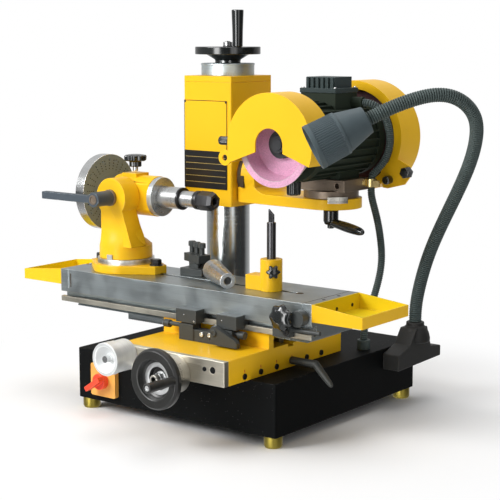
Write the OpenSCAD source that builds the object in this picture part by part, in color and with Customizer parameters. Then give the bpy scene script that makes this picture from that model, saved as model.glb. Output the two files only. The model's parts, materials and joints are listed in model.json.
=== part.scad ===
// Tool and cutter grinder: base, cross saddle, table with workhead, and a wheelhead on a round column.
// Lengths are in millimetres, z is up, and the origin is the middle of the four feet on the floor.

/* [Base] */
// Width of the base box, left to right
base_w = 458; // [430:2:490]
// Depth of the base box, front to back
base_d = 446; // [420:2:480]
// Height of the base box
base_h = 94; // [80:1:120]
// Wall of the base box
base_wall = 6; // [4:1:9]
// Radius of a foot
foot_r = 16; // [13:1:20]
// Height of a foot
foot_h = 20; // [14:1:30]
// Radius of the hold-down hole through a foot
bolt_r = 4.5; // [3:0.5:6]
// Width of the cross way at its foot
way_w = 100; // [80:2:120]
// Height of the cross way
way_h = 16; // [14:1:20]

/* [Column and wheelhead box] */
// Column axis, left to right
column_x = -112; // [-125:1:-105]
// Column axis, front to back
column_y = 80; // [75:1:90]
// Radius of the column
column_r = 42; // [36:1:46]
// Wall of the column
column_wall = 12; // [8:1:16]
// Height of the column above the base
column_h = 411; // [390:1:420]
// Width of the wheelhead box
head_w = 117; // [110:1:124]
// Depth of the wheelhead box
head_d = 126; // [116:1:132]
// Height of the wheelhead box
head_h = 246; // [236:1:270]
// Underside of the wheelhead box above the base
head_lift = 252; // [244:1:270]
// Radius of the lift screw
lift_screw_r = 9; // [6:0.5:12]
// Radius of the lift handwheel
lift_wheel_r = 63; // [55:1:75]
// Radius of the lift dial
lift_dial_r = 51; // [42:1:54]
// Height of the lift dial
lift_dial_h = 23; // [14:1:30]
// Height of the lift handle
lift_grip_h = 69; // [50:1:85]

/* [Arm and wheels] */
// Column axis to wheelhead swivel axis
arm_reach = 243; // [236:1:260]
// Radius of the tilt boss
boss_r = 51; // [44:1:54]
// Tilt axis above the underside of the wheelhead box
tilt_rise = 57; // [55:1:62]
// Radius of the round platform
platform_r = 57; // [53:1:62]
// Thickness of the platform
platform_h = 19; // [14:1:24]
// Radius of the swivel disc
disc_r = 51; // [44:1:53]
// Height of the swivel disc
disc_h = 13; // [8:1:18]
// Width of the motor plate
motor_plate_w = 104; // [96:1:116]
// Thickness of the motor plate
motor_plate_h = 22; // [16:1:28]
// Spindle axis above the motor plate
spindle_rise = 71; // [70:1:76]
// Radius of the motor body
motor_r = 66; // [60:1:68]
// Radius of the front guard
guard_r = 91; // [88:1:96]
// Depth of the front guard
guard_d = 62; // [56:1:70]
// Radius of the rear guard
rear_guard_r = 105; // [98:1:112]
// Depth of the rear guard
rear_guard_d = 68; // [60:1:76]
// Radius of the cup wheel
cup_r = 75; // [65:1:82]
// Radius of the rear wheel
rear_wheel_r = 85; // [75:1:92]
// Radius of the wheel spindle
wheel_shaft_r = 10; // [7:0.5:12]

/* [Saddle] */
// Width of the saddle
saddle_w = 239; // [220:1:260]
// Depth of the saddle
saddle_d = 332; // [310:1:350]
// Thickness of the saddle
saddle_h = 43; // [40:1:52]
// How far the saddle stands out in front of the base
saddle_overhang = 57; // [40:1:65]
// Height of the table rails
rail_h = 28; // [24:1:34]
// Thickness of the front plate
plate_t = 12; // [8:1:16]
// Radius of the cross-feed screw
feed_screw_r = 6; // [4:0.5:6.5]
// Radius of the cross-feed handwheel
cross_wheel_r = 52; // [46:1:60]
// Radius of the cross-feed dial
cross_dial_r = 33; // [26:1:36]
// Length of the cross-feed handle
cross_grip_l = 73; // [50:1:85]
// Radius of the table knob
table_knob_r = 29; // [24:1:33]
// Length of the table knob
table_knob_l = 52; // [40:1:60]

/* [Table] */
// Length of the table
table_l = 586; // [560:2:620]
// Width of the table
table_w = 143; // [138:1:150]
// Height of the table
table_h = 62; // [58:1:70]
// Table middle, front to back
table_y = -104.5; // [-112:0.5:-100]
// Length of a tray
tray_l = 101; // [80:1:120]
// Height of a tray at the table
tray_h = 30; // [24:1:36]
// Wall of a tray
tray_wall = 2.5; // [1.5:0.5:4]
// Width of a T-slot
slot_w = 9; // [7:0.5:11]

/* [Workhead] */
// Workhead swivel axis, left to right
work_x = -214; // [-225:1:-205]
// Spindle axis above the table
work_rise = 141; // [135:1:150]
// Radius of the tilt eye
eye_r = 36.5; // [32:0.5:39]
// Radius of the spindle housing
housing_r = 38; // [34:1:42]
// Radius of the spindle nose
nose_r = 20.5; // [18:0.5:24]
// Radius of the collet nut
collet_nut_r = 18; // [16:0.5:22]
// Radius of the collet bore
collet_r = 8; // [5:0.5:9]
// Radius of the index disc
index_r = 73; // [62:0.5:76]

/* [Rest and lamp] */
// Radius of the tool-rest post
post_r = 19.5; // [16:0.5:23]
// Radius of the tool-rest rod
rest_rod_r = 8; // [6:0.5:10]
// Radius of the lamp rim
lamp_r = 39; // [34:1:44]
// Length of the lamp
lamp_l = 101; // [85:1:115]
// Radius of the gooseneck
gooseneck_r = 12; // [9:0.5:14]
// Radius of the conduit
conduit_r = 7; // [5:0.5:8]

/* [Hidden] */
$fn = 64;
// Overrun of a cut, running clearance of a turning fit, clearance of a slide, gap of a flat joint
over = 1;
run_gap = 0.05;
way_gap = 0.1;
joint_gap = 0.3;
slope = 30;
edge_r = 4;

// Base
foot_inset = 17;
foot_x = base_w/2 - foot_inset;
foot_y = base_d/2 - foot_inset;
foot_bevel = 4;
foot_pad = 22;
foot_pad_h = 12;
base_top = foot_h + base_h;
way_top = base_top + way_h;
feed_x = 70;
feed_rise = 9;
feed_z = base_top + feed_rise;
way_front_margin = 10;
way_y0 = -base_d/2 + way_front_margin;
way_l = 310;
groove_w = 34;
groove_floor = 2;
flange_rim = 4.5;
flange_r = column_r + flange_rim;
flange_h = 18;
switch_x = -157;
switch_z_rise = 43;
switch_z = foot_h + switch_z_rise;
switch_w = 60;
switch_t = 11;
switch_body_w = 38;
switch_body_d = 34;
switch_knob_r = 15;
switch_knob_h = 12;
switch_bar_l = 26;
switch_bar_w = 9;
switch_bar_h = 13;
switch_turn = 215;
pivot_r = 3;
pivot_l = 8;

// Column
column_top = base_top + column_h;
key_w = 12;
key_d = 6;
key_from = 60;
nut_flange_h = 8;
nut_flange_margin = 1;
nut_h = 22;
nut_gap = 0.2;
cross_nut_l = 30;
cross_nut_w = 30;
cross_nut_y = -115;
nut_clear = 0.8;
tail_l = 205;

// Wheelhead box
head_z0 = base_top + head_lift;
head_z1 = head_z0 + head_h;
head_x1 = column_x + head_w/2;
head_y0 = column_y - head_d/2;
head_cap = 26;
lid_h = 11;
seam = 1;
panel_w = 106;
panel_h = 76;
panel_t = 1.5;
panel_rise = 28;
lift_hub_r = 25;
lift_hub_h = 12;
lift_rim_r = 7.5;
lift_rim_rise = 24;
lift_nut_h = 40;
lift_grip_r0 = 9.5;
lift_grip_r1 = 11.5;
lift_grip_turn = -32;
web_t = 6;

// Arm
tilt_z = head_z0 + tilt_rise;
arm_drop = 48;
arm_z0 = tilt_z - arm_drop;
platform_x = column_x + arm_reach;
platform_z1 = arm_z0 + platform_h;
arm_x0 = head_x1 + joint_gap;
neck_t = 3;
neck_margin = 5;
boss_l = 44;
spigot_r = 20;
spigot_l = 12;
arm_back_w = 96;
fillet_r = 44;
fillet_x = 30;
stud_r = 8;
stud_drop = 24;
lever_hub_r = 14;
lever_hub_h = 40;
lever_hub_z = arm_z0 - joint_gap - lever_hub_h;
lever_arm_l = 96;
lever_arm_r = 6;
lever_rise = 12;
lever_turn = -22;
lever_dip = 4;
ball_r = 9;

// Motor and guards
plate_z0 = platform_z1 + joint_gap + disc_h;
plate_z1 = plate_z0 + motor_plate_h;
plate_front = 35;
plate_back = 45;
plate_hole_r = 5;
plate_hole_inset = 16;
spindle_z = plate_z1 + spindle_rise;
guard_reach = 193;
guard_y0 = column_y - guard_reach;
guard_y1 = guard_y0 + guard_d;
motor_y0 = guard_y1;
rear_reach = 140;
rear_y1 = column_y + rear_reach;
rear_y0 = rear_y1 - rear_guard_d;
motor_y1 = rear_y0;
bell_l = 18;
bell_margin = 4;
fin_n = 28;
fin_h = 5;
fin_w = 3;
motor_foot_w = 80;
motor_foot_d = 62;
motor_foot_y = 50;
cavity_r = 50;
cavity_wall = 24;
rotor_gap = 1;
neck_w = 76;
neck_d = 70;
neck_y = 35;
flange_w = 78;
flange_d = 74;
flange_y = 33;
terminal_rise = 86;
terminal_t = 8;
lid_w = 63;
lid_d = 54;
lid_y = 43;
terminal_lid_h = 20;
gland_rise = 68;
gland_y = 92;
gland_r = 10;
gland_end = 61;
guard_wall = 3.5;
guard_arch_r = 29.5;
guard_sill = 13;
guard_slope = 20;
guard_hole_r = 30;
lug_x = 97;
lug_drop = 26;
lug_r = 14;
lug_hole_r = 5.5;
lip_w = 16;
hub_plate_r = 62;
strap_w = 60;
rear_mouth_w = 90;
rear_mouth_drop = 80;
tab_shares = [[0.57, -0.48], [0.63, -0.87], [0.73, -0.88], [1.08, -0.79], [1.2, -0.63], [1.17, -0.46],
    [0.95, -0.36]];
tab_t = 4;
thumb_r = 8;
thumb_l = 15;
thumb_rise = 3;
thumb_in = 12;
guard_thumb_l = 25;
tab_knob_x1 = 81;
tab_knob_x2 = 121;
tab_knob_drop1 = 76;
tab_knob_drop2 = 60;
tab_knob_r = 11;
boss_knob_r = 12;
boss_w = 14;
boss_drop = 78;
boss_y = 12;
cup_d = 42;
cup_back_gap = 6;
cup_web = 14;
cup_rim = 12;
cup_flare = 18;
cup_floor_in = 20;
cup_y1 = guard_y1 - cup_back_gap;
collar_r = 18;
clamp_flange_r = 25;
clamp_flange_t = 8;
clamp_nut_r = 15;
clamp_nut_t = 9;
shaft_proud = 2;
rear_wheel_t = 20;
rear_wheel_in = 20;
rear_wheel_y0 = rear_y0 + rear_wheel_in;
rear_wheel_y1 = rear_wheel_y0 + rear_wheel_t;

// Saddle
saddle_x = 55.5;
saddle_x0 = saddle_x - saddle_w/2;
saddle_x1 = saddle_x + saddle_w/2;
saddle_y0 = -base_d/2 - saddle_overhang;
saddle_y1 = saddle_y0 + saddle_d;
saddle_z0 = base_top + way_gap;
saddle_top = base_top + saddle_h;
rail_top = saddle_top + rail_h;
rail_inset = 7;
tongue_w = 88;
tongue_h = 10;
tongue_clear = 2;
plate_ear = 22;
plate_x0 = saddle_x0 - plate_ear;
plate_y0 = saddle_y0 - plate_t;
plate_screw_inset = 25;
plate_screw_rise = 26;
plate_screw_r = 6;
plate_screw_h = 7;
plate_pin_inset = 42;
plate_pin_r = 4;
gib_screw_r = 5;
gib_screw_l = 7;
gib_screw_proud = 2;
gib_screw_step = 45;
gib_screw_first = 43;
gib_screw_rise = 8.5;
saddle_lever_y = 175;
saddle_lever_rise = 12;
saddle_hub_r = 7;
saddle_hub_past = 6;
saddle_knuckle_l = 11;
saddle_hub_l = base_w/2 - saddle_x1 + saddle_hub_past;
saddle_arm_l = 54;
saddle_arm_r = 4.5;
saddle_arm_turn = 128;
saddle_arm_roll = -20;
saddle_tip_r = 6;
knob_x = -45;
knob_rise = 26;
knob_z = base_top + knob_rise;
shaft_r = 6;
shaft_tail = 22;
dial_l = 25;
knob_cup_l = 17;
knob_step = 1.2;
knob_hollow_r = 24;
knob_hollow_floor_r = 9;
knob_hollow_d = 14;
cross_hub_r = 15;
cross_hub_l = 24;
cross_rim_r = 8;
cross_rim_rise = 25;
cross_stub_r = 8;
cross_stub_l = 32;
cross_grip_r0 = 7.5;
cross_grip_r1 = 8.5;
cross_grip_turn = 7;
cross_screw_l = 300;

// Pinion and rack: teeth of one module
tooth_m = 1.5;
tooth_n = 18;
tooth_pitch_r = tooth_m*tooth_n/2;
tooth_clear = 0.375;
tooth_tip_r = tooth_pitch_r + tooth_m;
tooth_root_r = tooth_pitch_r - tooth_m - tooth_clear;
tooth_p = PI*tooth_m;
tooth_tip_share = 0.16;
tooth_pitch_share = 0.43;
mesh_gap = 0.2;
tooth_root_share = 0.6;
rack_mouth_share = 0.76;
rack_w = 14;
pinion_w = 12;
pinion_room = 1;
rack_pitch_z = knob_z + tooth_pitch_r + mesh_gap;
rack_tip_z = rack_pitch_z - tooth_m;
rack_root_z = rack_pitch_z + tooth_m + tooth_clear;
rack_n = 76;

// Table
table_x = -25;
table_x0 = table_x - table_l/2;
table_x1 = table_x + table_l/2;
table_y0 = table_y - table_w/2;
table_y1 = table_y + table_w/2;
table_z0 = rail_top + way_gap;
table_z1 = table_z0 + table_h;
tongue_z0 = table_z0 - tongue_h;
rail_y0 = table_y0 + rail_inset;
rail_y1 = table_y1 - rail_inset;
undercut = tan(slope);
tongue_inset = 22;
slot_neck = 8;
slot_deep = 7;
slot_under = 4;
front_slot_rise = 10;
front_slot_z0 = table_z0 + front_slot_rise;
front_slot_z1 = front_slot_z0 + slot_w;
end_line_inset = 19;
end_line_w = 2;
end_line_d = 1.5;
tray_out_share = 0.66;
tnut_gap = 0.3;
tnut_d = 5;
dog_d = 24;
dog_rise = 3;
dog_h = 24;
left_dog_x = 15;
left_dog_w = 46;
right_dog_x = 106;
right_dog_w = 44;
table_dog_x = 217;
table_dog_w = 34;
table_dog_d = 17;
dog_pin_r = 4;
dog_pin_l = 58;
dog_pin_rise = 17;
star_x = 224;
dog_boss_x = 250;
dog_boss_rise = 38;
dog_boss_r = 14;
dog_boss_l = 18;
star_rise = 38.5;
star_r = 24;
star_h = 12;
star_core_share = 0.8;
star_lobe_share = 0.27;
star_n = 7;
star_stem_r = 5;
star_stem_l = 20;
star_stem_in = 12;
bracket_strip_h = 6;
bracket_y0 = table_y0 - dog_d;
bracket_d = 22;
left_boss_x = 15;
left_boss_w = 32;
boss_top_gap = 2;
mid_boss_x = 49;
mid_boss_w = 38;
mid_boss_h = 21;
right_boss_x = 98;
right_boss_w = 40;
stop_screw_r = 4;
stop_screw_head_r = 7;
stop_screw_head_l = 13;
stop_screw_l = 42;
stop_screw_rise = 23;
stop_lever_rise = 16;
stop_lever_l = 50;
stop_lever_t = 10;
stop_lever_w = 12;
stop_lever_dip = 8;
stop_pin_r = 4;
stop_pin_l = 10;

// Tool fixture and taper sleeve
fixture_x = -70;
fixture_y = -66;
fixture_w = 52;
fixture_d = 38;
fixture_h = 13;
fixture_post_w = 22;
fixture_post_h = 26;
fixture_head_w = 54;
fixture_head_d = 26;
fixture_head_h = 15;
fixture_screw_r = 5;
fixture_screw_h = 22;
fixture_screw_step = 18;
fixture_turn = -20;
sleeve_x = -6;
sleeve_y = -98;
sleeve_r0 = 19.5;
sleeve_r1 = 14;
sleeve_bore_r = 7;
sleeve_l = 90;
sleeve_turn = -34;
sleeve_tilt = atan((sleeve_r0 - sleeve_r1)/sleeve_l);
seat_gap = 0.05;

// Tool rest
post_x = 137;
post_y = -112;
post_h = 56;
post_foot_l = 46;
post_foot_w = 30;
post_foot_h = 26;
rest_bore_d = 40;
rest_rod_l = 102;
rest_rod_rise = 18;
blade_w = 10.6;
blade_t = 4;
blade_h = 23;
blade_lean_share = 0.4;
rest_star_r = 11;
rest_star_h = 10;
rest_star_rise = 36;
rest_stem_r = 4;
rest_stem_l = 18;
rest_stem_in = 9;
rest_turn = 45;

// Workhead
work_y = table_y;
work_z = table_z1 + work_rise;
spindle_offset = 29.5;
work_axis_y = work_y + spindle_offset;
work_flange_h = 15;
work_flange_r = 62;
work_end_right = 88;
work_end_left = 76;
work_end_half = 16;
ring_r = 54;
ring_h = 10;
ring_z0 = table_z1 + work_flange_h;
ring_z1 = ring_z0 + ring_h;
turn_disc_r = 50;
turn_disc_h = 25;
turn_disc_z0 = ring_z1 + joint_gap;
turn_disc_z1 = turn_disc_z0 + turn_disc_h;
turn_pin_r = 15;
turn_pin_l = 18;
eye_front = 40.5;
eye_back = 0.5;
eye_y0 = work_y - eye_front;
eye_y1 = work_y - eye_back;
leg_left = 26;
leg_right = 51;
leg_top_right = 27;
leg_drop = 20;
tilt_bolt_r = 10;
tilt_bolt_in = 8;
housing_front = joint_gap;
housing_left = 36;
housing_right = 59;
housing_x0 = work_x - housing_left;
housing_x1 = work_x + housing_right;
tilt_boss_r = 30;
pad_w = 36;
pad_over = 4;
housing_star_l = 11;
housing_star_h = 24;
housing_star_r = 22;
tilt_hub_r = 14;
tilt_hub_l = 47;
tilt_bar_l = 135;
tilt_bar_w = 14;
tilt_bar_t = 14;
tilt_bar_tail = 12;
work_shaft_r = 16;
work_flange_x0 = housing_x1 + joint_gap;
nose_flange_r = 36.7;
nose_flange_t = 11;
nose_l = 49;
nose_neck_r = 15;
nose_neck_l = 32;
thread_r = 12;
thread_l = 38;
collet_nut_l = 44;
disc_stub_r = 14;
index_t = 21;
index_gap = 32;
index_hole_r = 1.5;
index_hole_n = 20;
index_hole_inset = 10;

// Lamp, gooseneck and conduit
bracket_w = 36;
bracket_y = 110;
bracket_l = 152;
bracket_h = 70;
bracket_drop = 38;
bracket_z0 = base_top - bracket_drop;
bracket_shares = [[0, 0], [1, 0.05], [1, 0.34], [0.76, 0.42], [0.66, 1], [0.4, 1], [0.26, 0.6],
    [0, 0.42]];
neck_collar_r = 17;
route_unit = 1;
neck_out = 21;
neck_foot_y = 190;
neck_rise = 10;
neck_foot = [base_w/2 + neck_out, neck_foot_y, bracket_z0 + bracket_h + neck_rise];
neck_shares = [
    [0, 0, 0], [0, 0, 30], [12, -6, 74], [36, -18, 134], [74, -35, 198],
    [118, -55, 264], [156, -80, 322], [182, -110, 374], [188, -138, 406], [178, -170, 430],
    [156, -200, 438], [130, -232, 430], [104, -262, 416], [89, -276, 406], [74, -290, 396]];
gooseneck_path = [for (k = neck_shares) neck_foot + k*route_unit];
gooseneck_ribs = 96;
gooseneck_bore_r = 8;
lamp_p = gooseneck_path[len(gooseneck_path) - 1];
lamp_pitch = 117;
lamp_yaw = 223;
lamp_back_r = 24;
lamp_step_share = 0.46;
lamp_cone_r = 35;
lamp_step = 2;
lamp_wall = 2.5;
lamp_back_t = 4;
bulb_r = 18;
socket_r = 11;
socket_l = 22;
bulb_at_share = 0.42;
lamp_gap = 0.5;
gland_inset = 29;
gland_x = base_w/2 - gland_inset;
base_gland_y = 90;
base_gland_r = 12;
base_gland_h = 18;
clip_gap = 0.3;
clip_out = 11;
clip_back = 38;
clip_rise = 5;
clip_p = [platform_x + motor_plate_w/2 + clip_out, column_y + clip_back, plate_z0 + clip_rise];
drop_foot = [gland_x, base_gland_y, base_top + base_gland_h];
upper_start = [platform_x + gland_end, gland_y, spindle_z + gland_rise];
drop_top_shares = [[0, 0, 0], [0, 0, -16], [3, 8, -40]];
drop_foot_shares = [
    [0, 46, 208], [0, 55, 174], [0, 59, 148], [0, 55, 118], [0, 38, 83], [0, 16, 46], [0, 0, 18], [0, 0, 0]];
upper_top_shares = [[0, 0, 0], [16, 0, 0], [29, 16, -12], [34, 32, -42], [34, 38, -68]];
upper_foot_shares = [[28, 14, 66], [17, 12, 42], [2, 2, 26], [0, 0, 16], [0, 0, 0]];
drop_path = concat(
    [for (k = drop_top_shares) clip_p + k*route_unit],
    [for (k = drop_foot_shares) drop_foot + k*route_unit]);
upper_path = concat(
    [for (k = upper_top_shares) upper_start + k*route_unit],
    [for (k = upper_foot_shares) clip_p + [0, 0, clip_gap] + k*route_unit]);
drop_ribs = 48;
upper_ribs = 40;
conduit_bore_r = 5;
rib_share = 0.86;
tube_sides = 8;
clip_r = 10;
clip_h = 15;
clip_z0 = clip_p.z + over;
clip_tab_t = 9;

black = [0.1, 0.1, 0.11];
yellow = [0.95, 0.72, 0.12];
steel = [0.65, 0.65, 0.66];
bright = [0.8, 0.8, 0.82];
dark_steel = [0.38, 0.35, 0.32];
bronze = [0.7, 0.5, 0.2];
grey = [0.3, 0.32, 0.34];
pink = [0.85, 0.65, 0.75];
red = [0.85, 0.2, 0.12];
white = [0.9, 0.9, 0.85];

// Shapes between two corners or along an axis
module box(lo, hi) {
    translate(lo) cube(hi - lo);
}

module rod_x(x0, x1, y, z, r) {
    translate([x0, y, z]) rotate([0, 90, 0]) cylinder(h = x1 - x0, r = r);
}

module rod_y(y0, y1, x, z, r) {
    translate([x, y0, z]) rotate([-90, 0, 0]) cylinder(h = y1 - y0, r = r);
}

module rod_z(z0, z1, x, y, r) {
    translate([x, y, z0]) cylinder(h = z1 - z0, r = r);
}

// A drawing in y and z drawn out along x, in x and z along y, in x and y along z
module prism_x(x0, x1) {
    translate([x0, 0, 0]) rotate([90, 0, 90]) linear_extrude(height = x1 - x0) children();
}

module prism_y(y0, y1) {
    translate([0, y1, 0]) rotate([90, 0, 0]) linear_extrude(height = y1 - y0) children();
}

module prism_z(z0, z1) {
    translate([0, 0, z0]) linear_extrude(height = z1 - z0) children();
}

// Rectangle with round corners
module pad(lo, hi, r) {
    translate([lo.x + r, lo.y]) square([hi.x - lo.x - 2*r, hi.y - lo.y]);
    translate([lo.x, lo.y + r]) square([hi.x - lo.x, hi.y - lo.y - 2*r]);
    for (x = [lo.x + r, hi.x - r], y = [lo.y + r, hi.y - r]) translate([x, y]) circle(r);
}

// Star knob standing on z = 0
module star(r, h) {
    linear_extrude(height = h) {
        circle(r*star_core_share);
        for (i = [0:star_n - 1]) rotate(360*i/star_n) translate([r*(1 - star_lobe_share), 0])
            circle(r*star_lobe_share);
    }
}

// Dished handwheel: hub on z = 0, round rim at the given height
module handwheel(r, rim_r, rim_z, hub_r, hub_h, bore_r) {
    rotate_extrude() {
        translate([r - rim_r, rim_z]) circle(rim_r);
        polygon([[hub_r - web_t, 0], [hub_r, 0], [r - rim_r, rim_z - rim_r], [r - rim_r, rim_z],
            [hub_r - web_t, web_t]]);
        translate([bore_r, 0]) square([hub_r - bore_r, hub_h]);
    }
}

// Points along a smooth curve that starts and ends at the first and last point
function padded(p) = concat([2*p[0] - p[1]], p, [2*p[len(p) - 1] - p[len(p) - 2]]);
function spline_at(q, u) =
    let (n = len(q) - 3, i = min(floor(u*n), n - 1), t = u*n - i)
    ((1 - t)^3*q[i] + (3*t^3 - 6*t^2 + 4)*q[i + 1] + (-3*t^3 + 3*t^2 + 3*t + 1)*q[i + 2] + t^3*q[i + 3])/6;
function curve(p, n) = let (q = padded(p)) [for (i = [0:n]) spline_at(q, i/n)];
function unit(v) = v/norm(v);
function heading(c, i) = unit(c[min(i + 1, len(c) - 1)] - c[max(i - 1, 0)]);
function flat(v, t) = unit(v - (v*t)*t);
function sides_of(c) = [for (i = 0, s = flat([1, 0.3, 0.2], heading(c, 0)); i < len(c);
    i = i + 1, s = i < len(c) ? flat(s, heading(c, i)) : s) s];
function ring(p, t, s, r) = [for (k = [0:tube_sides - 1])
    p + r*(cos(360*k/tube_sides)*s + sin(360*k/tube_sides)*cross(t, s))];
function band(a, b, flip) = [for (k = [0:tube_sides - 1]) let (m = (k + 1) % tube_sides)
    each flip ? [[a + k, b + k, b + m], [a + k, b + m, a + m]] : [[a + k, b + m, b + k],
        [a + k, a + m, b + m]]];

// Ribbed hose with a bore: two rings a rib outside, one a rib inside
module hose(p, r, bore_r, ribs) {
    n = 2*ribs;
    c = curve(p, n);
    s = sides_of(c);
    outer = [for (i = [0:n]) each ring(c[i], heading(c, i), s[i], i % 2 == 0 ? r : r*rib_share)];
    inner = [for (i = [0:2:n]) each ring(c[i], heading(c, i), s[i], bore_r)];
    t = tube_sides;
    k = (n + 1)*t;
    polyhedron(points = concat(outer, inner), faces = concat(
        [for (i = [0:n - 1]) each band(i*t, (i + 1)*t, false)],
        [for (i = [0:ribs - 1]) each band(k + i*t, k + (i + 1)*t, true)],
        band(0, k, true),
        band(n*t, k + ribs*t, false)));
}

module way(gap, z_extra) {
    w0 = way_w/2 + gap;
    w1 = w0 + (way_h + gap)*undercut;
    translate([feed_x, 0]) polygon([[-w0, base_top - z_extra], [w0, base_top - z_extra], [w0, base_top],
        [w1, way_top + gap], [-w1, way_top + gap], [-w0, base_top]]);
}

module base_box() {
    color(black) difference() {
        union() {
            difference() {
                prism_z(foot_h, base_top) pad([-base_w/2, -base_d/2], [base_w/2, base_d/2], edge_r);
                box([base_wall - base_w/2, base_wall - base_d/2, foot_h - over],
                    [base_w/2 - base_wall, base_d/2 - base_wall, base_top - base_wall]);
            }
            for (i = [0, 1], j = [0, 1]) mirror([i, 0, 0]) mirror([0, j, 0])
                box([foot_x - foot_pad, foot_y - foot_pad, foot_h],
                    [base_w/2 - base_wall, base_d/2 - base_wall, foot_h + foot_pad_h]);
            prism_y(way_y0, way_y0 + way_l) way(0, base_wall);
            rod_z(base_top - base_wall, base_top + flange_h, column_x, column_y, flange_r);
        }
        box([feed_x - groove_w/2, way_y0 - over, base_top + groove_floor],
            [feed_x + groove_w/2, way_y0 + way_l + over, way_top + over]);
        box([feed_x - way_w/2 - over, way_y0 - over, base_top],
            [feed_x + way_w/2 + over, way_y0 + way_l + over, base_top + joint_gap]);
        rod_z(base_top, base_top + joint_gap, column_x, column_y, flange_r + over);
        rod_z(base_top, base_top + flange_h + over, column_x, column_y, column_r + run_gap);
        box([switch_x - switch_body_w/2 - joint_gap, -base_d/2 - over,
            switch_z - switch_body_w/2 - joint_gap],
            [switch_x + switch_body_w/2 + joint_gap, base_wall - base_d/2 + over,
                switch_z + switch_body_w/2 + joint_gap]);
        for (x = [-foot_x, foot_x], y = [-foot_y, foot_y])
            rod_z(foot_h - over, foot_h + foot_pad_h + over, x, y, bolt_r);
    }
}

module feet() {
    color(bronze) for (x = [-foot_x, foot_x], y = [-foot_y, foot_y]) difference() {
        union() {
            translate([x, y, 0]) cylinder(h = foot_bevel, r1 = foot_r - foot_bevel/2, r2 = foot_r);
            rod_z(foot_bevel, foot_h, x, y, foot_r);
        }
        rod_z(-over, foot_h + over, x, y, bolt_r);
    }
}

module feed_nuts() {
    color(bronze) {
        difference() {
            union() {
                rod_z(column_top, column_top + nut_flange_h, column_x, column_y,
                    column_r - key_d - nut_flange_margin);
                rod_z(column_top - nut_h, column_top, column_x, column_y,
                    column_r - column_wall - nut_gap);
            }
            rod_z(column_top - nut_h - over, column_top + nut_flange_h + over, column_x, column_y,
                lift_screw_r + run_gap);
        }
        difference() {
            box([feed_x - cross_nut_w/2, cross_nut_y, base_top + groove_floor],
                [feed_x + cross_nut_w/2, cross_nut_y + cross_nut_l, way_top - nut_clear]);
            rod_y(cross_nut_y - over, cross_nut_y + cross_nut_l + over, feed_x, feed_z,
                feed_screw_r + run_gap);
        }
    }
}

module column() {
    color(bright) difference() {
        rod_z(base_top, column_top, column_x, column_y, column_r);
        rod_z(base_top - over, column_top + over, column_x, column_y, column_r - column_wall);
        box([column_x - key_w/2, column_y + column_r - key_d, base_top + key_from],
            [column_x + key_w/2, column_y + column_r + over, column_top + over]);
    }
}

module switch_plate() {
    color(yellow) difference() {
        union() {
            prism_y(-base_d/2 - switch_t, -base_d/2)
                pad([switch_x - switch_w/2, switch_z - switch_w/2],
                    [switch_x + switch_w/2, switch_z + switch_w/2], edge_r);
            box([switch_x - switch_body_w/2, -base_d/2 - switch_t/2, switch_z - switch_body_w/2],
                [switch_x + switch_body_w/2, switch_body_d - base_d/2, switch_z + switch_body_w/2]);
        }
        rod_y(-base_d/2 - switch_t - over, pivot_l - base_d/2, switch_x, switch_z, pivot_r + run_gap);
    }
}

module switch_knob() {
    y1 = -base_d/2 - switch_t - joint_gap;
    color(red) {
        rod_y(y1 - switch_knob_h, y1, switch_x, switch_z, switch_knob_r);
        rod_y(y1 - over, y1 + pivot_l, switch_x, switch_z, pivot_r);
        translate([switch_x, y1 - switch_knob_h, switch_z]) rotate([0, -switch_turn, 0])
            box([-switch_knob_r, -switch_bar_h, -switch_bar_w/2], [switch_bar_l, 0, switch_bar_w/2]);
    }
}

module lamp_bracket() {
    p = gooseneck_path[0];
    color(grey) {
        prism_x(base_w/2, base_w/2 + bracket_w) translate([bracket_y, bracket_z0])
            polygon([for (s = bracket_shares) [s.x*bracket_l, s.y*bracket_h]]);
        rod_z(bracket_z0 + bracket_h, p.z, p.x, p.y, neck_collar_r);
    }
}

module gooseneck() {
    color(grey) hose(gooseneck_path, gooseneck_r, gooseneck_bore_r, gooseneck_ribs);
}

module base_gland() {
    color(grey) {
        rod_z(base_top, drop_foot.z, gland_x, base_gland_y, base_gland_r);
    }
}

module conduit_drop() {
    color(grey) hose(drop_path, conduit_r, conduit_bore_r, drop_ribs);
}

module conduit_upper() {
    color(grey) hose(upper_path, conduit_r, conduit_bore_r, upper_ribs);
}

module on_lamp() {
    translate(lamp_p) rotate([0, lamp_pitch, lamp_yaw]) translate([0, 0, lamp_gap]) children();
}

module lamp_shade() {
    s = lamp_l*lamp_step_share;
    color(grey) on_lamp() rotate_extrude() polygon([
        [0, 0], [lamp_back_r, 0], [lamp_cone_r, s], [lamp_cone_r + lamp_step, s], [lamp_r, lamp_l],
        [lamp_r - lamp_wall, lamp_l], [lamp_cone_r + lamp_step - lamp_wall, s + lamp_wall],
        [lamp_cone_r - lamp_wall, s], [lamp_back_r - lamp_wall, lamp_back_t], [0, lamp_back_t]]);
}

module lamp_bulb() {
    color(white) on_lamp() {
        translate([0, 0, lamp_back_t]) cylinder(h = socket_l + lamp_wall, r = socket_r);
        translate([0, 0, lamp_l*bulb_at_share]) sphere(bulb_r);
    }
}

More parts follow.
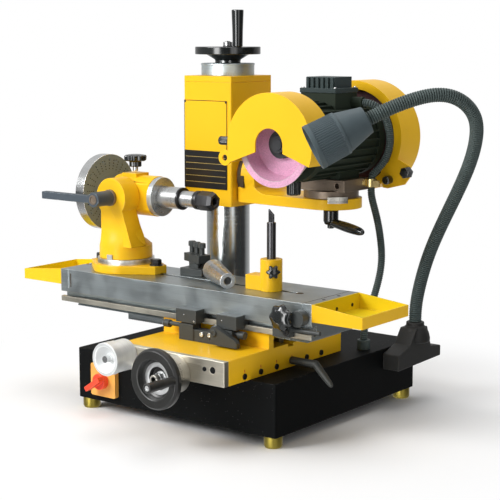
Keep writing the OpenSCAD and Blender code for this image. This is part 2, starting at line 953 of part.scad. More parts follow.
module saddle() {
    i0 = tongue_w/2 + way_gap;
    i1 = i0 + (tongue_h + tongue_clear)*undercut;
    zu = rail_top - tongue_h - tongue_clear;
    color(yellow) difference() {
        prism_x(saddle_x0, saddle_x1) polygon([
            [saddle_y0, saddle_z0], [saddle_y1, saddle_z0], [saddle_y1, saddle_top],
                [rail_y1, saddle_top],
            [rail_y1, rail_top], [table_y + i0, rail_top], [table_y + i1, zu], [table_y + i1, saddle_top],
            [table_y - i1, saddle_top], [table_y - i1, zu], [table_y - i0, rail_top], [rail_y0, rail_top],
            [rail_y0, saddle_top], [saddle_y0, saddle_top]]);
        prism_y(saddle_y0 - over, saddle_y1 + over) way(way_gap, over);
        rod_y(saddle_y0 - over, table_y + shaft_tail + over, knob_x, knob_z, shaft_r + run_gap);
        rod_y(table_y - pinion_w/2 - pinion_room, table_y + pinion_w/2 + pinion_room, knob_x, knob_z,
            tooth_tip_r + pinion_room);
        box([knob_x - tooth_tip_r, table_y - pinion_w/2 - pinion_room, knob_z],
            [knob_x + tooth_tip_r, table_y + pinion_w/2 + pinion_room, saddle_top + over]);
        box([saddle_x0 - over, table_y - rack_w/2 - pinion_room, rack_tip_z - pinion_room],
            [saddle_x1 + over, table_y + rack_w/2 + pinion_room, saddle_top + over]);
        for (i = [0:4]) gib_screw(i, run_gap, over);
        rod_x(saddle_x1 - pivot_l - over, saddle_x1 + over, saddle_y0 + saddle_lever_y,
            base_top + saddle_lever_rise, pivot_r + run_gap);
    }
}

module gib_screw(i, gap, extra) {
    step = i > 2 ? i + 1 : i;
    rod_x(saddle_x1 - gib_screw_l - extra, saddle_x1 + gib_screw_proud,
        saddle_y0 + gib_screw_first + step*gib_screw_step,
        base_top + gib_screw_rise, gib_screw_r + gap);
}

module front_plate() {
    color(steel) difference() {
        prism_y(plate_y0, saddle_y0) pad([plate_x0, saddle_z0], [saddle_x1, saddle_top], seam);
        rod_y(plate_y0 - over, saddle_y0 + over, feed_x, feed_z, feed_screw_r + run_gap);
        rod_y(plate_y0 - over, saddle_y0 + over, knob_x, knob_z, shaft_r + run_gap);
        for (x = [plate_x0 + plate_screw_inset/2, saddle_x1 - plate_screw_inset])
            rod_y(plate_y0 - over, plate_y0 + plate_screw_h + seam, x, base_top + plate_screw_rise,
                plate_screw_r + run_gap);
        rod_y(plate_y0 - over, saddle_y0 + over, saddle_x1 - plate_pin_inset,
            base_top + plate_screw_rise, plate_pin_r + run_gap);
    }
}

module saddle_screws() {
    color(black) {
        for (i = [0:4]) gib_screw(i, 0, 0);
        for (x = [plate_x0 + plate_screw_inset/2, saddle_x1 - plate_screw_inset])
            rod_y(plate_y0 + seam, plate_y0 + plate_screw_h + seam, x, base_top + plate_screw_rise,
                plate_screw_r);
        rod_y(plate_y0 - seam, saddle_y0, saddle_x1 - plate_pin_inset, base_top + plate_screw_rise,
            plate_pin_r);
    }
}

module stop_bracket() {
    z1 = table_z0 + dog_rise - boss_top_gap;
    zs = saddle_top + stop_screw_rise;
    ym = bracket_y0 + bracket_d/2;
    left_x0 = left_boss_x - left_boss_w/2;
    right_x1 = right_boss_x + right_boss_w/2;
    color(black) difference() {
        union() {
            box([left_x0, bracket_y0, saddle_top],
                [right_x1, bracket_y0 + bracket_d, saddle_top + bracket_strip_h]);
            box([left_x0, bracket_y0, saddle_top], [left_x0 + left_boss_w, bracket_y0 + bracket_d, z1]);
            box([mid_boss_x - mid_boss_w/2, bracket_y0, saddle_top],
                [mid_boss_x + mid_boss_w/2, bracket_y0 + bracket_d, saddle_top + mid_boss_h]);
            box([right_x1 - right_boss_w, bracket_y0, saddle_top],
                [right_x1, bracket_y0 + bracket_d, z1]);
            rod_x(left_x0 - stop_screw_l, left_x0 + seam, ym, zs, stop_screw_r);
            rod_x(left_x0 - stop_screw_l, left_x0 - stop_screw_l + stop_screw_head_l, ym, zs - over,
                stop_screw_head_r);
            rod_x(right_x1 - seam, right_x1 + stop_screw_l/2, ym, zs, stop_screw_r);
            rod_x(right_x1 + stop_screw_l/2 - stop_screw_head_l, right_x1 + stop_screw_l/2, ym,
                zs - over, stop_screw_head_r);
        }
        rod_y(bracket_y0 - over, bracket_y0 + stop_pin_l + over, right_x1 - right_boss_w/2 - stop_pin_l,
            saddle_top + stop_lever_rise, stop_pin_r + run_gap);
    }
}

module stop_lever() {
    x = right_boss_x - stop_pin_l;
    y1 = bracket_y0 - 2*joint_gap;
    color(black) {
        rod_y(y1 - over, bracket_y0 + stop_pin_l, x, saddle_top + stop_lever_rise, stop_pin_r);
        rod_y(y1 - stop_lever_t, y1, x, saddle_top + stop_lever_rise, stop_lever_w/2 + seam);
        translate([x, y1, saddle_top + stop_lever_rise]) rotate([0, stop_lever_dip, 0]) {
            box([0, joint_gap - stop_lever_t, -stop_lever_w/2], [stop_lever_l, -joint_gap, stop_lever_w/2]);
        }
    }
}

module saddle_lever() {
    x1 = saddle_x1 + saddle_hub_l;
    y = saddle_y0 + saddle_lever_y;
    z = base_top + saddle_lever_rise;
    color(black) {
        rod_x(saddle_x1 - pivot_l, saddle_x1 + over, y, z, pivot_r);
        rod_x(saddle_x1 + joint_gap, x1 - saddle_knuckle_l - joint_gap, y, z, saddle_hub_r);
        rod_x(x1 - saddle_knuckle_l, x1, y, z, saddle_hub_r);
        translate([x1 - saddle_hub_r, y, z])
            rotate([saddle_arm_roll, 0, 0]) rotate([0, saddle_arm_turn, 0])
                cylinder(h = saddle_arm_l, r1 = saddle_arm_r, r2 = saddle_tip_r);
    }
}

module cross_screw() {
    y1 = plate_y0 - joint_gap;
    color(bright) {
        rod_y(y1 - dial_l, y1, feed_x, feed_z, cross_dial_r);
        rod_y(y1 - dial_l - cross_stub_l, y1 - dial_l + over, feed_x, feed_z, cross_stub_r);
        rod_y(y1 - over, y1 + cross_screw_l, feed_x, feed_z, feed_screw_r);
    }
}

module cross_wheel() {
    y1 = plate_y0 - joint_gap - dial_l;
    color(black) translate([feed_x, y1, feed_z]) rotate([90, 0, 0]) {
        handwheel(cross_wheel_r, cross_rim_r, cross_rim_rise, cross_hub_r, cross_hub_l,
            cross_stub_r + run_gap);
        rotate(cross_grip_turn) translate([cross_wheel_r - cross_rim_r, 0, cross_rim_rise])
            cylinder(h = cross_grip_l, r1 = cross_grip_r0, r2 = cross_grip_r1);
    }
}

// One tooth of the pinion, at the given turn
module tooth(turn) {
    rotate(turn) polygon([
        [-tooth_p*tooth_root_share/2, tooth_root_r - tooth_clear],
            [tooth_p*tooth_root_share/2, tooth_root_r - tooth_clear],
        [tooth_p*tooth_pitch_share/2, tooth_pitch_r], [tooth_p*tooth_tip_share/2, tooth_tip_r],
        [-tooth_p*tooth_tip_share/2, tooth_tip_r], [-tooth_p*tooth_pitch_share/2, tooth_pitch_r]]);
}

module pinion_shaft() {
    color(steel) {
        rod_y(plate_y0 - table_knob_l, table_y + shaft_tail, knob_x, knob_z, shaft_r);
        translate([knob_x, table_y + pinion_w/2, knob_z]) rotate([90, 0, 0])
            linear_extrude(height = pinion_w) {
            circle(tooth_root_r);
            for (i = [0:tooth_n - 1]) tooth(360*i/tooth_n);
        }
    }
}

module table_knob() {
    y1 = plate_y0 - joint_gap;
    y0 = y1 - table_knob_l;
    color(bright) difference() {
        union() {
            rod_y(y0, y0 + knob_cup_l, knob_x, knob_z, table_knob_r);
            rod_y(y0 + knob_cup_l, y1, knob_x, knob_z, table_knob_r - knob_step);
        }
        translate([knob_x, y0 - over, knob_z]) rotate([-90, 0, 0])
            cylinder(h = knob_hollow_d + over, r1 = knob_hollow_r, r2 = knob_hollow_floor_r);
        rod_y(y0 - over, y1 + over, knob_x, knob_z, shaft_r + run_gap);
    }
}

module slot_front() {
    box([table_x0 - over, table_y0 - over, front_slot_z0],
        [table_x1 + over, table_y0 + slot_neck + over, front_slot_z1]);
    box([table_x0 - over, table_y0 + slot_neck, front_slot_z0 - slot_under],
        [table_x1 + over, table_y0 + slot_neck + slot_deep, front_slot_z1 + slot_under]);
}

module table() {
    t0 = tongue_w/2;
    t1 = t0 + tongue_h*undercut;
    color(steel) difference() {
        union() {
            box([table_x0, table_y0, table_z0], [table_x1, table_y1, table_z1]);
            prism_x(table_x0 + tongue_inset, table_x1 - tongue_inset) translate([table_y, 0])
                polygon([[-t1, tongue_z0], [t1, tongue_z0], [t0, table_z0], [t0, table_z0 + over],
                    [-t0, table_z0 + over], [-t0, table_z0]]);
        }
        slot_front();
        box([table_x0 - over, table_y - slot_w/2, table_z1 - slot_neck - over],
            [table_x1 + over, table_y + slot_w/2, table_z1 + over]);
        box([table_x0 - over, table_y - slot_w/2 - slot_under, table_z1 - slot_neck - slot_deep],
            [table_x1 + over, table_y + slot_w/2 + slot_under, table_z1 - slot_neck]);
        for (x = [table_x0 + end_line_inset, table_x1 - end_line_inset])
            box([x, table_y0 - over, front_slot_z1 + slot_under*2],
                [x + end_line_w, table_y0 + end_line_d, table_z1 + over]);
        rod_y(table_y0 - over, table_y0 + star_stem_in + over, star_x, table_z0 + star_rise,
            star_stem_r + run_gap);
    }
}

module table_rack() {
    color(steel) difference() {
        box([table_x - rack_n*tooth_p/2, table_y - rack_w/2, rack_tip_z],
            [table_x + rack_n*tooth_p/2, table_y + rack_w/2, tongue_z0]);
        for (i = [-rack_n/2 - 1:rack_n/2]) prism_y(table_y - rack_w/2 - over, table_y + rack_w/2 + over)
            translate([knob_x + (i + round((table_x - knob_x)/tooth_p))*tooth_p, 0]) polygon([
                [-tooth_p*rack_mouth_share/2, rack_tip_z - over],
                    [tooth_p*rack_mouth_share/2, rack_tip_z - over],
                [tooth_p*(1 - tooth_pitch_share)/2, rack_pitch_z], [tooth_p*tooth_tip_share, rack_root_z],
                [-tooth_p*tooth_tip_share, rack_root_z],
                    [-tooth_p*(1 - tooth_pitch_share)/2, rack_pitch_z]]);
    }
}

// Tray with its tall end on x = 0 and its floor on z = 0
module tray() {
    h1 = tray_h*tray_out_share;
    color(yellow) difference() {
        prism_y(table_y0, table_y1) polygon([[0, 0], [tray_l, 0], [tray_l, h1], [0, tray_h]]);
        box([tray_wall, table_y0 + tray_wall, tray_wall],
            [tray_l - tray_wall, table_y1 - tray_wall, tray_h + over]);
    }
}

module tray_left() {
    translate([table_x0, 0, table_z1 - tray_h]) mirror([1, 0, 0]) tray();
}

module tray_right() {
    translate([table_x1, 0, table_z1 - tray_h]) tray();
}

// Block on the front of the table with a nut in the slot
module dog(x, w, d) {
    y1 = table_y0 - joint_gap;
    z0 = table_z0 + dog_rise;
    box([x - w/2, y1 - d, z0], [x + w/2, y1, z0 + dog_h]);
    box([x - w/2, y1 - over, front_slot_z0 + tnut_gap],
        [x + w/2, table_y0 + slot_neck + tnut_gap + over, front_slot_z1 - tnut_gap]);
    box([x - w/2, table_y0 + slot_neck + tnut_gap, front_slot_z0 - slot_under + tnut_gap],
        [x + w/2, table_y0 + slot_neck + tnut_gap + tnut_d, front_slot_z1 + slot_under - tnut_gap]);
}

module stop_dog_left() {
    color(black) dog(left_dog_x, left_dog_w, dog_d);
}

module stop_dog_right() {
    color(black) dog(right_dog_x, right_dog_w, dog_d);
}

module table_dog() {
    x1 = table_dog_x + table_dog_w/2;
    color(black) {
        dog(table_dog_x, table_dog_w, table_dog_d);
        rod_y(table_y0 - dog_boss_l, table_y0, dog_boss_x, table_z0 + dog_boss_rise, dog_boss_r);
        rod_x(x1 - seam, x1 + dog_pin_l, table_y0 - table_dog_d/2, table_z0 + dog_pin_rise, dog_pin_r);
    }
}

module table_star() {
    color(black) translate([star_x, table_y0, table_z0 + star_rise]) rotate([90, 0, 0]) {
        translate([0, 0, -star_stem_in]) cylinder(h = star_stem_in + star_stem_l + over, r = star_stem_r);
        translate([0, 0, star_stem_l]) star(star_r, star_h);
    }
}

module tool_fixture() {
    z1 = table_z1 + fixture_h + fixture_post_h;
    color(black) {
        box([fixture_x - fixture_w/2, fixture_y - fixture_d/2, table_z1],
            [fixture_x + fixture_w/2, fixture_y + fixture_d/2, table_z1 + fixture_h]);
        box([fixture_x - fixture_post_w/2, fixture_y - fixture_post_w/2, table_z1],
            [fixture_x + fixture_post_w/2, fixture_y + fixture_post_w/2, z1 - over]);
        translate([fixture_x, fixture_y, z1]) rotate(fixture_turn) {
            box([-fixture_head_w/2, -fixture_head_d/2, -fixture_head_h],
                [fixture_head_w/2, fixture_head_d/2, 0]);
            for (i = [-1:1]) rod_z(-over, fixture_screw_h, i*fixture_screw_step, 0, fixture_screw_r);
        }
    }
}

module taper_sleeve() {
    color(bright) translate([sleeve_x, sleeve_y, table_z1 + sleeve_r0*cos(sleeve_tilt) + seat_gap])
        rotate([0, sleeve_tilt, sleeve_turn]) rotate([0, 90, 0]) difference() {
            cylinder(h = sleeve_l, r1 = sleeve_r0, r2 = sleeve_r1);
            translate([0, 0, -over]) cylinder(h = sleeve_l + 2*over, r = sleeve_bore_r);
        }
}

module rest_post() {
    z1 = table_z1 + post_h;
    color(yellow) difference() {
        union() {
            rod_z(table_z1, z1, post_x, post_y, post_r);
            box([post_x - post_foot_l, post_y - post_foot_w/2, table_z1],
                [post_x, post_y + post_foot_w/2, table_z1 + post_foot_h]);
        }
        rod_z(z1 - rest_bore_d, z1 + over, post_x, post_y, rest_rod_r + run_gap);
        translate([post_x, post_y, 0]) rotate(rest_turn)
            rod_y(-post_r - over, rest_stem_in - post_r, 0, table_z1 + rest_star_rise, rest_stem_r + run_gap);
    }
}

module rest_rod() {
    z0 = table_z1 + rest_rod_rise;
    z1 = z0 + rest_rod_l;
    color(black) {
        rod_z(z0, z1, post_x, post_y, rest_rod_r);
        prism_y(post_y - blade_t/2, post_y + blade_t/2) polygon([
            [post_x - blade_w/2, z1 - over], [post_x + blade_w/2, z1 - over],
                [post_x + blade_w/2, z1 + blade_h*(1 - blade_lean_share)],
            [post_x - blade_w/2, z1 + blade_h]]);
    }
}

module rest_star() {
    color(black) translate([post_x, post_y, table_z1 + rest_star_rise]) rotate(rest_turn)
        translate([0, -post_r, 0]) rotate([90, 0, 0]) {
        translate([0, 0, seam - rest_stem_in]) cylinder(h = rest_stem_l - seam, r = rest_stem_r);
        translate([0, 0, rest_stem_l - rest_stem_in - over]) star(rest_star_r, rest_star_h);
    }
}

// One ear of the workhead's flange: straight sides from the round to an end at the given reach
module flange_ear(reach) {
    a = atan2(work_end_half, reach) + acos(work_flange_r/norm([reach, work_end_half]));
    r = work_flange_r - joint_gap;
    polygon([[0, 0], [r*cos(a), -r*sin(a)], [reach, -work_end_half], [reach, work_end_half],
        [r*cos(a), r*sin(a)]]);
}

module workhead_base() {
    color(yellow) difference() {
        prism_z(table_z1, ring_z0) {
            translate([work_x, work_y]) {
                circle(work_flange_r);
                flange_ear(work_end_right);
                rotate(180) flange_ear(work_end_left);
            }
        }
        rod_z(turn_disc_z0 - turn_pin_l - over, ring_z0 + over, work_x, work_y, turn_pin_r + run_gap);
    }
}

module swivel_ring() {
    color(bright) difference() {
        rod_z(ring_z0, ring_z1, work_x, work_y, ring_r);
        rod_z(ring_z0 - over, ring_z1 + over, work_x, work_y, turn_pin_r + run_gap);
    }
}

module workhead_bracket() {
    color(yellow) difference() {
        union() {
            rod_z(turn_disc_z0, turn_disc_z1, work_x, work_y, turn_disc_r);
            rod_z(turn_disc_z0 - turn_pin_l, turn_disc_z0 + over, work_x, work_y, turn_pin_r);
            prism_y(eye_y0, eye_y1) polygon([
                [work_x - leg_left, turn_disc_z1 - over], [work_x + leg_right, turn_disc_z1 - over],
                    [work_x + leg_right, turn_disc_z1],
                [work_x + leg_top_right, work_z - leg_drop], [work_x + leg_top_right, work_z],
                    [work_x - leg_left, work_z]]);
            rod_y(eye_y0, eye_y1, work_x, work_z, eye_r);
        }
        rod_y(eye_y0 - over, eye_y1 + over, work_x, work_z, tilt_bolt_r + run_gap);
    }
}

module tilt_lever() {
    y1 = eye_y0 - joint_gap;
    y0 = y1 - tilt_hub_l;
    color(black) {
        rod_y(y1 - over, eye_y1 + tilt_bolt_in, work_x, work_z, tilt_bolt_r);
        rod_y(y0, y1, work_x, work_z, tilt_hub_r);
        box([work_x - tilt_bar_l, y0, work_z - tilt_bar_w/2],
            [work_x + tilt_bar_tail, y0 + tilt_bar_t, work_z + tilt_bar_w/2]);
    }
}

module spindle_housing() {
    y0 = eye_y1 + housing_front;
    color(yellow) difference() {
        union() {
            rod_x(housing_x0, housing_x1, work_axis_y, work_z, housing_r);
            rod_y(y0, work_axis_y, work_x, work_z, tilt_boss_r);
            box([work_x - pad_w/2, work_axis_y - pad_w/2, work_z],
                [work_x + pad_w/2, work_axis_y + pad_w/2, work_z + housing_r + pad_over]);
        }
        box([housing_x0 - over, work_axis_y - housing_r*2, work_z - housing_r - over],
            [housing_x1 + over, y0, work_z + housing_r + over]);
        rod_x(housing_x0 - over, housing_x1 + over, work_axis_y, work_z, work_shaft_r + run_gap);
        rod_y(y0 - over, eye_y1 + tilt_bolt_in, work_x, work_z, tilt_bolt_r + run_gap);
        rod_z(work_z + housing_r - pivot_l, work_z + housing_r + pad_over + over, work_x, work_axis_y,
            pivot_r + run_gap);
    }
}

module housing_star() {
    color(black) translate([work_x, work_axis_y, work_z + housing_r + pad_over]) {
        translate([0, 0, over - pivot_l]) cylinder(h = pivot_l, r = pivot_r);
        translate([0, 0, joint_gap]) cylinder(h = housing_star_l, r = pivot_r + over);
        translate([0, 0, housing_star_l]) star(housing_star_r, housing_star_h);
    }
}

module work_spindle() {
    x1 = work_flange_x0 + nose_flange_t;
    x2 = x1 + nose_l;
    x3 = x2 + nose_neck_l;
    xd = housing_x0 - index_gap;
    color(bright) difference() {
        union() {
            rod_x(xd, x1 + over, work_axis_y, work_z, work_shaft_r);
            rod_x(xd - index_t, xd + over, work_axis_y, work_z, disc_stub_r);
            difference() {
                rod_x(work_flange_x0, x1 - joint_gap, work_axis_y, work_z, nose_flange_r);
                rod_x(work_flange_x0 - over, x1, work_axis_y, work_z, work_shaft_r + run_gap);
            }
            rod_x(x1, x2, work_axis_y, work_z, nose_r);
            rod_x(x2 - over, x3, work_axis_y, work_z, nose_neck_r);
            rod_x(x3 - over, x3 + thread_l, work_axis_y, work_z, thread_r);
        }
        rod_x(xd - index_t - over, x3 + thread_l + over, work_axis_y, work_z, collet_r);
    }
}

module index_disc() {
    xd = housing_x0 - index_gap;
    color(bright) difference() {
        rod_x(xd - index_t, xd, work_axis_y, work_z, index_r);
        rod_x(xd - index_t - over, xd + over, work_axis_y, work_z, disc_stub_r + run_gap);
        for (i = [0:index_hole_n - 1]) translate([0, work_axis_y, work_z])
            rotate([360*i/index_hole_n, 0, 0])
            rod_x(xd - index_t - over, xd + over, 0, index_r - index_hole_inset, index_hole_r);
    }
}

module collet_nut() {
    x0 = work_flange_x0 + nose_flange_t + nose_l + nose_neck_l;
    color(black) difference() {
        rod_x(x0, x0 + collet_nut_l, work_axis_y, work_z, collet_nut_r);
        rod_x(x0 - over, x0 + thread_l + run_gap, work_axis_y, work_z, thread_r + run_gap);
        rod_x(x0, x0 + collet_nut_l + over, work_axis_y, work_z, collet_r);
    }
}

module head_box() {
    color(yellow) difference() {
        prism_z(head_z0, head_z1) pad([column_x - head_w/2, head_y0], [head_x1, head_y0 + head_d],
            edge_r);
        difference() {
            rod_z(head_z0 - over, head_z1 - head_cap, column_x, column_y, column_r + run_gap);
            box([column_x - key_w/2 + way_gap, column_y + column_r - key_d + way_gap, head_z0],
                [column_x + key_w/2 - way_gap, column_y + column_r + over, head_z1 - head_cap]);
        }
        rod_z(head_z1 - head_cap - over, head_z1 + over, column_x, column_y, lift_screw_r + run_gap);
        rod_x(head_x1 - spigot_l - over, head_x1 + over, column_y, tilt_z, spigot_r + run_gap);
        difference() {
            box([column_x - head_w, head_y0 - over, head_z1 - lid_h - seam],
                [head_x1 + over, head_y0 + head_d + over, head_z1 - lid_h]);
            box([column_x - head_w/2 + seam, head_y0 + seam, head_z1 - lid_h - 2*seam],
                [head_x1 - seam, head_y0 + head_d - seam, head_z1]);
        }
    }
}

module head_panel() {
    z0 = head_z0 + panel_rise;
    color(black) box([column_x - panel_w/2, head_y0 - panel_t, z0],
        [column_x + panel_w/2, head_y0, z0 + panel_h]);
}

module lift_screw() {
    z1 = head_z1 + joint_gap + lift_dial_h + lift_nut_h;
    color(bright) rod_z(column_top - tail_l, z1, column_x, column_y, lift_screw_r);
}

module lift_dial() {
    z0 = head_z1 + joint_gap;
    color(bright) difference() {
        rod_z(z0, z0 + lift_dial_h, column_x, column_y, lift_dial_r);
        rod_z(z0 - over, z0 + lift_dial_h + over, column_x, column_y, lift_screw_r + run_gap);
    }
}

module lift_wheel() {
    z0 = head_z1 + joint_gap + lift_dial_h;
    color(black) translate([column_x, column_y, z0]) {
        handwheel(lift_wheel_r, lift_rim_r, lift_rim_rise, lift_hub_r, lift_hub_h,
            lift_screw_r + run_gap);
        rotate(lift_grip_turn) translate([lift_wheel_r - lift_rim_r, 0, lift_rim_rise])
            cylinder(h = lift_rim_r + lift_grip_h, r1 = lift_grip_r0, r2 = lift_grip_r1);
    }
}

module arm() {
    fx = arm_x0 + fillet_x + fillet_r;
    x1 = platform_x + platform_r;
    color(yellow) difference() {
        union() {
            rod_x(arm_x0, arm_x0 + neck_t + over, column_y, tilt_z, boss_r - neck_margin);
            rod_x(arm_x0 + neck_t, arm_x0 + boss_l, column_y, tilt_z, boss_r);
            rod_x(arm_x0 - spigot_l, arm_x0 + over, column_y, tilt_z, spigot_r);
            rod_z(arm_z0, platform_z1, platform_x, column_y, platform_r);
            difference() {
                intersection() {
                    prism_z(arm_z0, platform_z1 + fillet_r) polygon([
                        [arm_x0 + neck_t, column_y - arm_back_w/2], [platform_x, column_y - platform_r],
                        [platform_x, column_y + platform_r], [arm_x0 + neck_t, column_y + arm_back_w/2]]);
                    union() {
                        box([arm_x0 + neck_t, column_y - platform_r, arm_z0],
                            [x1, column_y + platform_r, platform_z1]);
                        box([arm_x0 + neck_t, column_y - platform_r, arm_z0],
                            [fx, column_y + platform_r, platform_z1 + fillet_r]);
                    }
                }
                rod_y(column_y - platform_r - over, column_y + platform_r + over, fx,
                    platform_z1 + fillet_r, fillet_r);
            }
        }
        rod_z(arm_z0 - over, platform_z1 + over, platform_x, column_y, stud_r + run_gap);
    }
}

module clamp_lever() {
    z = lever_hub_z;
    color(black) difference() {
        union() {
            rod_z(z, z + lever_hub_h, platform_x, column_y, lever_hub_r);
            translate([platform_x, column_y, z + lever_rise]) rotate([0, 90 + lever_dip, lever_turn]) {
                cylinder(h = lever_arm_l, r = lever_arm_r);
                translate([0, 0, lever_arm_l]) sphere(ball_r);
            }
        }
        rod_z(arm_z0 - stud_drop - over, arm_z0, platform_x, column_y, stud_r + run_gap);
    }
}

module swivel_plate() {
    x1 = platform_x + motor_plate_w/2;
    color(dark_steel) difference() {
        union() {
            rod_z(platform_z1 + joint_gap, plate_z0 + over, platform_x, column_y, disc_r);
            rod_z(arm_z0 - stud_drop, platform_z1 + joint_gap + over, platform_x, column_y, stud_r);
            box([platform_x - motor_plate_w/2, column_y - plate_front, plate_z0],
                [x1, column_y + plate_back, plate_z1]);
        }
        rod_y(column_y - plate_front - over, column_y - plate_front + plate_hole_inset,
            x1 - plate_hole_inset,
            (plate_z0 + plate_z1)/2, plate_hole_r);
    }
}

module motor_housing() {
    z = spindle_z;
    x = platform_x;
    zt = z + terminal_rise;
    color(black) difference() {
        union() {
            rod_y(motor_y0 + bell_l - over, motor_y1 - bell_l + over, x, z, motor_r);
            rod_y(motor_y0, motor_y0 + bell_l, x, z, motor_r + bell_margin);
            rod_y(motor_y1 - bell_l, motor_y1, x, z, motor_r + bell_margin);
            for (i = [0:fin_n - 1]) translate([x, 0, z]) rotate([0, 360*i/fin_n, 0])
                box([motor_r - fin_w, motor_y0 + bell_l - over, -fin_w/2],
                    [motor_r + fin_h, motor_y1 - bell_l + over, fin_w/2]);
            box([x - motor_foot_w/2, motor_foot_y, plate_z1],
                [x + motor_foot_w/2, motor_foot_y + motor_foot_d, z - cavity_r - over]);
            box([x - neck_w/2, neck_y, z + cavity_r], [x + neck_w/2, neck_y + neck_d, zt + over]);
            box([x - flange_w/2, flange_y, zt], [x + flange_w/2, flange_y + flange_d, zt + terminal_t]);
            box([x - lid_w/2, lid_y, zt + terminal_t - over],
                [x + lid_w/2, lid_y + lid_d, zt + terminal_t + terminal_lid_h]);
            rod_x(x + neck_w/2 - over, x + gland_end, gland_y, z + gland_rise, gland_r);
            box([x - boss_w/2, motor_y0 + boss_y/2, z - boss_drop],
                [x + boss_w/2, motor_y0 + boss_y/2 + boss_w, z - cavity_r]);
        }
        rod_y(motor_y0 - over, motor_y1 + over, x, z, wheel_shaft_r + run_gap);
        rod_y(motor_y0 + cavity_wall, motor_y1 - cavity_wall, x, z, cavity_r);
    }
}

// Open lower part of a guard: two edges falling away from the sill
module guard_mouth(r) {
    w = r*2;
    polygon([[-guard_arch_r, -guard_sill], [guard_arch_r, -guard_sill],
        [w, -guard_sill - (w - guard_arch_r)*tan(guard_slope)],
        [w, -w], [-w, -w], [-w, -guard_sill - (w - guard_arch_r)*tan(guard_slope)]]);
}

module front_guard() {
    x = platform_x;
    z = spindle_z;
    color(yellow) difference() {
        union() {
            rod_y(guard_y0, guard_y1, x, z, guard_r);
            rod_y(guard_y0, guard_y0 + guard_wall, x - lug_x, z - lug_drop, lug_r);
        }
        difference() {
            union() {
                rod_y(guard_y0 + guard_wall, guard_y1 - guard_wall, x, z, guard_r - guard_wall);
                prism_y(guard_y0 - over, guard_y1 + over) translate([x, z]) guard_mouth(guard_r);
            }
            rod_y(guard_y0 - 2*over, guard_y0 + guard_wall, x - lug_x, z - lug_drop, lug_r);
        }
        rod_y(guard_y0 - over, guard_y0 + guard_wall + over, x - lug_x, z - lug_drop, lug_hole_r);
        prism_y(guard_y0 - over, guard_y0 + guard_wall + over) translate([x, z]) {
            circle(guard_arch_r);
            translate([-guard_arch_r, -guard_sill - over]) square([2*guard_arch_r, guard_sill + over]);
        }
        rod_y(guard_y1 - guard_wall - over, guard_y1 + over, x, z, guard_hole_r);
        rod_x(x - guard_r - over, x - guard_r + guard_wall*2, guard_y0 + thumb_in, z + thumb_rise,
            pivot_r + run_gap);
    }
}

module rear_guard() {
    x = platform_x;
    z = spindle_z;
    r = rear_guard_r;
    color(yellow) difference() {
        union() {
            difference() {
                rod_y(rear_y0, rear_y1, x, z, r);
                rod_y(rear_y0 - over, rear_y1 - guard_wall, x, z, r - guard_wall);
            }
            difference() {
                rod_y(rear_y0, rear_y0 + guard_wall, x, z, r - guard_wall/2);
                rod_y(rear_y0 - over, rear_y0 + guard_wall + over, x, z, r - lip_w);
            }
            rod_y(rear_y0, rear_y0 + guard_wall, x, z, hub_plate_r);
            box([x - r + lip_w/2, rear_y0, z - strap_w/2], [x, rear_y0 + guard_wall, z + strap_w/2]);
            prism_y(rear_y0, rear_y0 + tab_t) translate([x, z]) polygon(tab_shares*r);
        }
        rod_y(rear_y0 - over, rear_y0 + guard_wall + over, x, z, guard_hole_r);
        box([x - rear_mouth_w/2, rear_y0 - over, z - 2*r],
            [x + rear_mouth_w/2, rear_y1 + over, z - rear_mouth_drop]);
    }
}

module guard_knobs() {
    x = platform_x;
    z = spindle_z;
    color(black) {
        rod_x(x - guard_r - guard_thumb_l, x - guard_r - joint_gap, guard_y0 + thumb_in, z + thumb_rise,
            thumb_r);
        rod_x(x - guard_r - over, x - guard_r + guard_wall, guard_y0 + thumb_in, z + thumb_rise, pivot_r);
        rod_y(rear_y0 - thumb_l, rear_y0, x + tab_knob_x1, z - tab_knob_drop1, thumb_r);
        rod_y(rear_y0 - thumb_l, rear_y0, x + tab_knob_x2, z - tab_knob_drop2, tab_knob_r);
        rod_z(z - boss_drop - thumb_l, z - boss_drop, x, motor_y0 + boss_y/2 + boss_w/2, boss_knob_r);
    }
}

module conduit_clip() {
    p = upper_path[len(upper_path) - 1];
    x0 = platform_x + motor_plate_w/2;
    color(bronze) difference() {
        union() {
            rod_z(clip_z0, clip_z0 + clip_h, p.x, p.y, clip_r);
            box([x0, p.y - clip_tab_t/2, clip_z0], [p.x, p.y + clip_tab_t/2, clip_z0 + clip_h]);
        }
        rod_z(clip_z0 - over, clip_z0 + clip_h + over, p.x, p.y, conduit_r + clip_gap);
    }
}

module motor_shaft() {
    y0 = cup_y1 - cup_web - clamp_flange_t - clamp_nut_t - shaft_proud;
    y1 = rear_wheel_y1 + clamp_flange_t + clamp_nut_t + shaft_proud;
    x = platform_x;
    z = spindle_z;
    color(steel) {
        rod_y(y0, y1, x, z, wheel_shaft_r);
        rod_y(motor_y0 + cavity_wall + rotor_gap, motor_y1 - cavity_wall - rotor_gap, x, z,
            cavity_r - rotor_gap);
        rod_y(cup_y1, motor_y0 - joint_gap, x, z, collar_r);
        rod_y(motor_y1 + joint_gap, rear_wheel_y0, x, z, collar_r);
        rod_y(cup_y1 - cup_web - clamp_flange_t, cup_y1 - cup_web, x, z, clamp_flange_r);
        rod_y(y0 + shaft_proud, y0 + shaft_proud + clamp_nut_t + over, x, z, clamp_nut_r);
        rod_y(rear_wheel_y1, rear_wheel_y1 + clamp_flange_t, x, z, clamp_flange_r);
        rod_y(y1 - shaft_proud - clamp_nut_t - over, y1 - shaft_proud, x, z, clamp_nut_r);
    }
}

